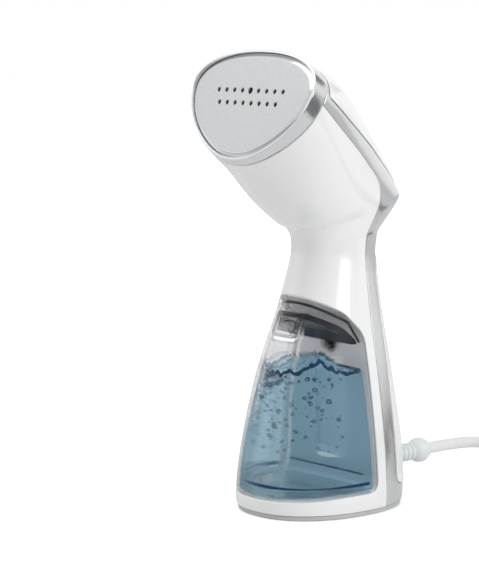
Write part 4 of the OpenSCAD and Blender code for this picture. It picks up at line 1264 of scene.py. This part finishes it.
def makeFootPlate():
    i = foot["plateInset"]
    rings = [footRing(30, 0.0), footRing(i + 4, 0.0), footRing(i + 0.9, 0.0), footRing(i + 0.3, 0.25),
             footRing(i, 0.8), footRing(i, foot["plateHigh"] - 0.4), footRing(i + 0.3, foot["plateHigh"]),
             footRing(i + 2.4, foot["plateHigh"] + 0.02)]
    return joinRings("footPlate", rings, "housing", "grey_plate", ["base_plate"], sharp=40)


footPlate = makeFootPlate()

# the pick-up hose inside the tank; its filter is not made here
hosePoints = [(0, -13.5, 109.2), (0, -14, 105), (0, -16, 98), (0, -19.5, 84), (0, -21.5, 68), (0, -22.5, 52),
              (0, -23, 40), (0, -24.5, 29), (0, -28, 21.4), (0, -33.6, 20)]
pickupHose = tubeMesh("pickupHose", smoothLine(hosePoints, 1.5), 2.35, "tank", "silicone", ["pickup_hose"])
print("foot and hose made")

# both springs shorten as their joints move, the pressed button's by 2.5 mm and the pump's by 3 mm; here each
# only gets a mesh of its own
springs = {"button_spring": {"joint": "steam_button_press", "axis": (0, -0.661835, -0.749649),
                             "fixedEnd": (0, 0.00456, 0.22283), "free": 6.33, "travel": 2.5},
           "pump_spring": {"joint": "pump_stroke", "axis": (0, 0, 1), "fixedEnd": (0, 0.016, 0.082),
                           "free": 11.8, "travel": 3.0}}
for name, spring in springs.items():
    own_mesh(nodes[name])


def makeGrainGroup():
    # cloudy tone, uneven gloss and a fine texture, in object space
    group = bpy.data.node_groups.new("surfaceGrain", "ShaderNodeTree")
    sockets = group.interface
    number = "NodeSocketFloat"
    for label, kind, value in (("Color", "NodeSocketColor", (0.8, 0.8, 0.8, 1)),
                               ("Tone Spread", number, 0.03),
                               ("Roughness", number, 0.4), ("Roughness Spread", number, 0.04),
                               ("Grain Size", number, 0.001), ("Cloud Size", number, 0.03),
                               ("Speckle", number, 0.0), ("Stretch", "NodeSocketVector", (1, 1, 1))):
        sockets.new_socket(name=label, in_out="INPUT", socket_type=kind).default_value = value
    for label, kind in (("Color", "NodeSocketColor"), ("Roughness", number), ("Height", number)):
        sockets.new_socket(name=label, in_out="OUTPUT", socket_type=kind)
    nodesIn, link = group.nodes, group.links.new
    given, out = nodesIn.new("NodeGroupInput"), nodesIn.new("NodeGroupOutput")
    place = nodesIn.new("ShaderNodeTexCoord")

    def math2(kind, a, b):
        node = nodesIn.new("ShaderNodeMath")
        node.operation = kind
        for socket, value in zip(node.inputs, (a, b)):
            if isinstance(value, (int, float)):
                socket.default_value = value
            else:
                link(value, socket)
        return node.outputs[0]

    def noiseOf(size, detail):
        spread = nodesIn.new("ShaderNodeVectorMath")
        spread.operation = "MULTIPLY"
        link(place.outputs["Object"], spread.inputs[0])
        link(given.outputs["Stretch"], spread.inputs[1])
        noise = nodesIn.new("ShaderNodeTexNoise")
        noise.inputs["Detail"].default_value = detail
        link(spread.outputs[0], noise.inputs["Vector"])
        link(math2("DIVIDE", 1.0, size), noise.inputs["Scale"])
        return noise.outputs[0]

    fine = noiseOf(given.outputs["Grain Size"], 3)
    cloud = noiseOf(given.outputs["Cloud Size"], 2)
    cloudShift = math2("MULTIPLY", math2("SUBTRACT", cloud, 0.5), given.outputs["Tone Spread"])
    fineShift = math2("MULTIPLY", math2("SUBTRACT", fine, 0.5), given.outputs["Speckle"])
    tone = nodesIn.new("ShaderNodeHueSaturation")
    link(given.outputs["Color"], tone.inputs["Color"])
    link(math2("ADD", 1.0, math2("ADD", cloudShift, fineShift)), tone.inputs["Value"])
    link(tone.outputs[0], out.inputs["Color"])
    gloss = math2("ADD", math2("SUBTRACT", cloud, 0.5), math2("MULTIPLY", math2("SUBTRACT", fine, 0.5), 0.5))
    unevenGloss = math2("MULTIPLY", gloss, given.outputs["Roughness Spread"])
    link(math2("ADD", given.outputs["Roughness"], unevenGloss), out.inputs["Roughness"])
    link(fine, out.inputs["Height"])
    return group


grainGroup = makeGrainGroup()


def makeFinish(name, color, rough, tone=0.04, spread=0.06, grain=0.0012, cloud=0.03, speckle=0.0, bump=0.15,
               stretch=(1, 1, 1), fixed=()):
    mat = bpy.data.materials.new(name)
    mat.use_nodes = True
    tree = mat.node_tree
    shader = tree.nodes["Principled BSDF"]
    texture = tree.nodes.new("ShaderNodeGroup")
    texture.node_tree = grainGroup
    for label, value in (("Color", (*color, 1)), ("Tone Spread", tone), ("Roughness", rough),
                         ("Roughness Spread", spread), ("Grain Size", grain), ("Cloud Size", cloud),
                         ("Speckle", speckle), ("Stretch", stretch)):
        texture.inputs[label].default_value = value
    tree.links.new(texture.outputs["Color"], shader.inputs["Base Color"])
    tree.links.new(texture.outputs["Roughness"], shader.inputs["Roughness"])
    relief = tree.nodes.new("ShaderNodeBump")
    relief.inputs["Strength"].default_value = bump
    relief.inputs["Distance"].default_value = grain * 0.2
    tree.links.new(texture.outputs["Height"], relief.inputs["Height"])
    tree.links.new(relief.outputs[0], shader.inputs["Normal"])
    for label, value in dict(fixed).items():
        shader.inputs[label].default_value = value
    return mat


finishes = {
    "white_shell": makeFinish("whiteShell", (0.86, 0.86, 0.865), 0.16, 0.02, 0.05, 0.0006, 0.05, bump=0.05,
                              fixed={"Coat Weight": 0.35, "Coat Roughness": 0.05}),
    "silver_shell": makeFinish("silverPaint", (0.68, 0.69, 0.7), 0.25, 0.05, 0.05, 0.0004, 0.04, 0.12, 0.08,
                               fixed={"Metallic": 0.9, "Coat Weight": 0.5, "Coat Roughness": 0.06}),
    "grey_plate": makeFinish("footGrey", (0.52, 0.53, 0.54), 0.42, 0.04, 0.08, 0.0007, 0.03, 0.05, 0.3),
    "rubber": makeFinish("footRubber", (0.035, 0.035, 0.037), 0.7, 0.15, 0.1, 0.0006, 0.01, 0.2, 0.5),
    "screw_steel": makeFinish("screwSteel", (0.6, 0.6, 0.61), 0.32, 0.1, 0.1, 0.0004, 0.01, 0.1, 0.25,
                              fixed={"Metallic": 1.0}),
    # the bay liner's emission is painted light: a faint glow that lightens the tank's inside, though the
    # liner is no lamp
    "liner": makeFinish("bayLinerPaintedGlow", (0.92, 0.93, 0.94), 0.35, 0.02, 0.06, 0.0008, 0.03, bump=0.2,
                        fixed={"Emission Color": (1, 1, 1, 1), "Emission Strength": 0.16}),
    "face_metal": makeFinish("blastedPlate", (0.43, 0.435, 0.44), 0.38, 0.1, 0.14, 0.0005, 0.03, 0.6, 0.9,
                             fixed={"Metallic": 1.0}),
    "baffle_steel": makeFinish("baffleSteel", (0.1, 0.1, 0.1), 0.4, 0.1, 0.1, 0.0005, 0.01, 0.1, 0.2,
                               fixed={"Metallic": 1.0}),
    "boiler_alloy": makeFinish("castAlloy", (0.52, 0.52, 0.53), 0.5, 0.12, 0.15, 0.0009, 0.01, 0.2, 0.6,
                               fixed={"Metallic": 1.0}),
    "element": makeFinish("heaterSheath", (0.2, 0.19, 0.18), 0.45, 0.2, 0.15, 0.0006, 0.008, 0.15, 0.3,
                          fixed={"Metallic": 1.0}),
    "thermostat": makeFinish("thermostatBody", (0.55, 0.42, 0.25), 0.45, 0.08, 0.1, 0.0006, 0.01, 0.1, 0.2),
    "fuse": makeFinish("fuseSleeve", (0.78, 0.74, 0.62), 0.6, 0.08, 0.1, 0.0005, 0.006, 0.15, 0.4),
    "brass": makeFinish("inletBrass", (0.78, 0.58, 0.28), 0.3, 0.12, 0.1, 0.0005, 0.008, 0.1, 0.2,
                        fixed={"Metallic": 1.0}),
    "copper": makeFinish("coilCopper", (0.72, 0.36, 0.2), 0.35, 0.1, 0.1, 0.0005, 0.01, 0.1, 0.5,
                         (0.2, 0.2, 4), fixed={"Metallic": 1.0}),
    "pump_body": makeFinish("pumpNylon", (0.72, 0.71, 0.66), 0.4, 0.05, 0.08, 0.0006, 0.01, bump=0.25),
    "plunger": makeFinish("plungerSteel", (0.45, 0.46, 0.48), 0.25, 0.08, 0.08, 0.0004, 0.01, 0.05, 0.15,
                          fixed={"Metallic": 1.0}),
    "spring_steel": makeFinish("springSteel", (0.55, 0.55, 0.56), 0.3, 0.1, 0.1, 0.0004, 0.01, 0.1, 0.2,
                               fixed={"Metallic": 1.0}),
    "silicone": makeFinish("clearHose", (0.93, 0.95, 0.96), 0.12, 0.03, 0.08, 0.0008, 0.01, bump=0.1,
                           fixed={"Transmission Weight": 0.7, "IOR": 1.25, "Alpha": 0.6}),
    "board": makeFinish("boardGreen", (0.03, 0.16, 0.08), 0.35, 0.2, 0.1, 0.0008, 0.006, 0.2, 0.2),
    "black_part": makeFinish("blackPart", (0.03, 0.03, 0.032), 0.4, 0.15, 0.1, 0.0006, 0.01, 0.1, 0.3),
    "capacitor": makeFinish("capacitorSkin", (0.16, 0.1, 0.07), 0.3, 0.1, 0.1, 0.0005, 0.01, 0.05, 0.15),
    "wire": makeFinish("wireJacket", (0.5, 0.05, 0.04), 0.4, 0.08, 0.1, 0.0006, 0.01, 0.05, 0.2),
    "lens": makeFinish("lensRed", (0.75, 0.12, 0.05), 0.12, 0.04, 0.04, 0.0005, 0.004, bump=0.05,
                       fixed={"Coat Weight": 0.6}),
    "button": makeFinish("buttonGrey", (0.56, 0.57, 0.58), 0.3, 0.03, 0.06, 0.0005, 0.01, 0.06, 0.15),
    "clear_tank": makeFinish("clearTank", (0.46, 0.465, 0.48), 0.03, 0.02, 0.02, 0.001, 0.03, bump=0.02,
                             fixed={"Transmission Weight": 1.0, "IOR": 1.12, "Alpha": 0.55}),
    "dark_lid": makeFinish("darkLid", (0.045, 0.047, 0.05), 0.3, 0.15, 0.1, 0.0007, 0.01, 0.05, 0.2),
    "filter": makeFinish("filterMesh", (0.82, 0.83, 0.84), 0.5, 0.1, 0.1, 0.0006, 0.004, 0.5, 0.6),
    "swivel": makeFinish("swivelWhite", (0.8, 0.8, 0.8), 0.3, 0.03, 0.06, 0.0006, 0.02, bump=0.12,
                         fixed={"Subsurface Weight": 0.15}),
    "clamp": makeFinish("clampGrey", (0.14, 0.14, 0.15), 0.45, 0.1, 0.1, 0.0006, 0.01, 0.1, 0.3),
    "cord": makeFinish("cordWhite", (0.8, 0.8, 0.79), 0.38, 0.03, 0.08, 0.0007, 0.02, 0.03, 0.18,
                       fixed={"Subsurface Weight": 0.1}),
    "tie": makeFinish("tieGrey", (0.17, 0.17, 0.18), 0.55, 0.08, 0.1, 0.0005, 0.01, 0.1, 0.3),
    "plug_metal": makeFinish("bladeBrass", (0.7, 0.68, 0.62), 0.22, 0.06, 0.08, 0.0004, 0.008, 0.05, 0.12,
                             fixed={"Metallic": 1.0}),
}
waterFinish = makeFinish("tankWater", (0.5, 0.74, 0.87), 0.02, 0.04, 0.02, 0.004, 0.03, bump=0.02,
                         fixed={"Transmission Weight": 1.0, "IOR": 1.07})
# the bubbles' dark navy shows only towards their outlines: painted shade on their rims
bubbleRimShade = makeFinish("bubblesPaintedRim", (0.01, 0.05, 0.11), 0.08, 0.02, 0.02, 0.002, 0.03, bump=0.0)


def clearMiddleShadedRim(mat, start, end):
    # see-through where it faces the eye, solid towards its outline, where the dark colour paints a shaded rim
    tree = mat.node_tree
    facing = tree.nodes.new("ShaderNodeLayerWeight")
    facing.inputs["Blend"].default_value = 0.5
    rise = tree.nodes.new("ShaderNodeMapRange")
    rise.interpolation_type = "SMOOTHSTEP"
    rise.inputs["From Min"].default_value = start
    rise.inputs["From Max"].default_value = end
    rise.inputs["To Min"].default_value = 0.1
    rise.inputs["To Max"].default_value = 0.9
    tree.links.new(facing.outputs["Facing"], rise.inputs["Value"])
    tree.links.new(rise.outputs[0], tree.nodes["Principled BSDF"].inputs["Alpha"])


clearMiddleShadedRim(bubbleRimShade, 0.15, 0.55)


def anyRay(tree, *labels):
    # 1 for a ray of any of these kinds, else 0
    path = tree.nodes.new("ShaderNodeLightPath")
    found = path.outputs[labels[0]]
    for label in labels[1:]:
        either = tree.nodes.new("ShaderNodeMath")
        either.operation = "MAXIMUM"
        tree.links.new(found, either.inputs[0])
        tree.links.new(path.outputs[label], either.inputs[1])
        found = either.outputs[0]
    return found


def letLightIn(mat, seen, unseen):
    # shadow and diffuse rays pass more freely than the eye's
    tree = mat.node_tree
    pick = tree.nodes.new("ShaderNodeMapRange")
    pick.inputs["To Min"].default_value = seen
    pick.inputs["To Max"].default_value = unseen
    tree.links.new(anyRay(tree, "Is Shadow Ray", "Is Diffuse Ray"), pick.inputs["Value"])
    tree.links.new(pick.outputs[0], tree.nodes["Principled BSDF"].inputs["Alpha"])


letLightIn(finishes["clear_tank"], 0.55, 0.15)
letLightIn(waterFinish, 1.0, 0.3)
# dark blue for the edge strands: painted shade along the water's edge and along the clear floor's edge
edgeShadeFinish = makeFinish("paintedRimShade", (0.03, 0.1, 0.2), 0.08, 0.1, 0.04, 0.002, 0.01, bump=0.05,
                        fixed={"Transmission Weight": 0.5, "IOR": 1.2})
bevelFinish = makeFinish("polishedBevel", (0.55, 0.56, 0.57), 0.1, 0.03, 0.03, 0.0005, 0.03, 0.02, 0.05,
                         fixed={"Metallic": 1.0})
lidFinish = makeFinish("smokedLid", (0.05, 0.05, 0.055), 0.15, 0.1, 0.06, 0.0007, 0.01, 0.05, 0.1,
                       fixed={"Transmission Weight": 0.3, "IOR": 1.2})
letLightIn(edgeShadeFinish, 0.9, 0.3)
smokedFinish = makeFinish("smokedTray", (0.8, 0.81, 0.82), 0.05, 0.02, 0.03, 0.001, 0.03, bump=0.02,
                          fixed={"Transmission Weight": 1.0, "IOR": 1.12, "Alpha": 0.35})
pieceFinish = {frontShell: "white_shell", silverFrame: "silver_shell", lowerCoverShell: "white_shell",
               upperCoverShell: "white_shell", steamCollar: "silver_shell", steamPlate: "face_metal",
               tankWall: "clear_tank", fillFlap: "clear_tank", steamButton: "button", powerButton: "button",
               statusLens: "lens", cordSwivel: "swivel", swivelBush: "swivel", mainsCord: "cord",
               mainsPlug: "cord", plugBlades: "plug_metal", cordTie: "tie", footPlate: "grey_plate",
               pickupHose: "silicone"}


def coat(obj, mat):
    obj.data.materials.clear()
    obj.data.materials.append(mat)


for piece, slotName in pieceFinish.items():
    coat(piece, finishes[slotName])
coat(tankWater, waterFinish)
coat(waterBubbles, bubbleRimShade)
letLightIn(smokedFinish, 0.35, 0.1)
letLightIn(lidFinish, 0.92, 0.3)
coat(tankTray, smokedFinish)
coat(tankLid, lidFinish)
coat(waterEdgeShade, edgeShadeFinish)
coat(floorEdgeShade, edgeShadeFinish)
coat(lidFunnel, finishes["clear_tank"])
steamPlate.data.materials.append(bevelFinish)
bevelFrom = steamPlate["bevelFrom"]
del steamPlate["bevelFrom"]
for face in steamPlate.data.polygons[bevelFrom:bevelFrom + 4 * 288]:
    face.material_index = 1
for node in nodes.values():
    for holder in node.material_slots:
        if holder.material and holder.material.name in finishes:
            holder.material = finishes[holder.material.name]
nodes["fill_plug"].material_slots[0].material = finishes["clear_tank"]
nodes["dock_socket"].material_slots[0].material = finishes["button"]
nodes["spigot_ring"].material_slots[0].material = finishes["silicone"]
letLightIn(finishes["filter"], 0.5, 0.3)
print("materials made")

# floor, background and lamps
studio = {"worldLight": 0.48, "floorTone": 0.86, "floorFill": 0.4}


def makeFloor():
    mesh = bmesh.new()
    bmesh.ops.create_grid(mesh, x_segments=2, y_segments=2, size=6)
    data = bpy.data.meshes.new("studioFloor")
    mesh.to_mesh(data)
    mesh.free()
    obj = bpy.data.objects.new("studioFloor", data)
    scene.collection.objects.link(obj)
    mat = bpy.data.materials.new("floorPale")
    mat.use_nodes = True
    tree = mat.node_tree
    shader = tree.nodes["Principled BSDF"]
    shader.inputs["Base Color"].default_value = (*[studio["floorTone"]] * 3, 1)
    shader.inputs["Roughness"].default_value = 0.5
    shader.inputs["Emission Color"].default_value = (1, 1, 1, 1)
    seen = anyRay(tree, "Is Camera Ray", "Is Transmission Ray")
    spot = tree.nodes.new("ShaderNodeTexCoord")
    away = tree.nodes.new("ShaderNodeVectorMath")
    away.operation = "LENGTH"
    tree.links.new(spot.outputs["Object"], away.inputs[0])
    rising = tree.nodes.new("ShaderNodeMapRange")
    rising.interpolation_type = "SMOOTHSTEP"
    rising.inputs["From Min"].default_value = 0.15
    rising.inputs["From Max"].default_value = 0.9
    rising.inputs["To Min"].default_value = studio["floorFill"]
    rising.inputs["To Max"].default_value = 1.0
    tree.links.new(away.outputs["Value"], rising.inputs["Value"])
    fill = tree.nodes.new("ShaderNodeMath")
    fill.operation = "MULTIPLY"
    tree.links.new(rising.outputs[0], fill.inputs[1])
    tree.links.new(seen, fill.inputs[0])
    tree.links.new(fill.outputs[0], shader.inputs["Emission Strength"])
    data.materials.append(mat)
    return obj


def makeWorld():
    world = bpy.data.worlds.new("studioWorld")
    scene.world = world
    world.use_nodes = True
    tree = world.node_tree
    back = tree.nodes["Background"]
    back.inputs["Color"].default_value = (1, 1, 1, 1)
    seen = anyRay(tree, "Is Camera Ray", "Is Glossy Ray", "Is Transmission Ray")
    pick = tree.nodes.new("ShaderNodeMapRange")
    pick.inputs["To Min"].default_value = studio["worldLight"]
    pick.inputs["To Max"].default_value = 1.0
    tree.links.new(seen, pick.inputs["Value"])
    tree.links.new(pick.outputs[0], back.inputs["Strength"])


lamps = {"topSoft": {"place": (-0.15, -0.35, 1.15), "size": (1.1, 1.1), "watts": 5.2},
         "leftSoft": {"place": (-0.95, -0.75, 0.55), "size": (0.8, 1.1), "watts": 1.6},
         "rightSoft": {"place": (1.15, 0.25, 0.55), "size": (0.6, 1.1), "watts": 7}}


def makeLamp(name, values):
    data = bpy.data.lights.new(name, "AREA")
    data.shape = "RECTANGLE"
    data.size, data.size_y = values["size"]
    data.energy = values["watts"]
    obj = bpy.data.objects.new(name, data)
    scene.collection.objects.link(obj)
    obj.location = values["place"]
    aim = Vector((0, 0, 0.13)) - obj.location
    obj.rotation_euler = aim.to_track_quat("-Z", "Y").to_euler()
    return obj


# dark cards that only mirrors see, as a studio sets them beside polished metal
cards = {"lowCard": {"place": (0.36, 0.06, 0.02), "size": (0.5, 0.34), "aim": (0, -0.02, 0.2)},
         "backCard": {"place": (0.18, 0.32, 0.0), "size": (0.3, 0.1), "aim": (0.03, 0.03, 0.17)},
         "highCard": {"place": (0.05, 0.75, 0.62), "size": (0.5, 0.3), "aim": (0, -0.03, 0.24)}}


def makeCard(name, values):
    w, h = values["size"][0] / 2, values["size"][1] / 2
    data = bpy.data.meshes.new(name)
    data.from_pydata([(-w, -h, 0), (w, -h, 0), (w, h, 0), (-w, h, 0)], [], [(0, 1, 2, 3)])
    obj = bpy.data.objects.new(name, data)
    scene.collection.objects.link(obj)
    obj.location = values["place"]
    aim = Vector(values["aim"]) - obj.location
    obj.rotation_euler = aim.to_track_quat("Z", "Y").to_euler()
    mat = bpy.data.materials.new(name + "Black")
    mat.use_nodes = True
    mat.node_tree.nodes["Principled BSDF"].inputs["Base Color"].default_value = (0.02, 0.02, 0.02, 1)
    data.materials.append(mat)
    obj.visible_camera = obj.visible_diffuse = obj.visible_shadow = obj.visible_transmission = False


makeFloor()
makeWorld()
for name, values in cards.items():
    makeCard(name, values)
for name, values in lamps.items():
    makeLamp(name, values)
scene.view_settings.view_transform = "Standard"
print("studio made")
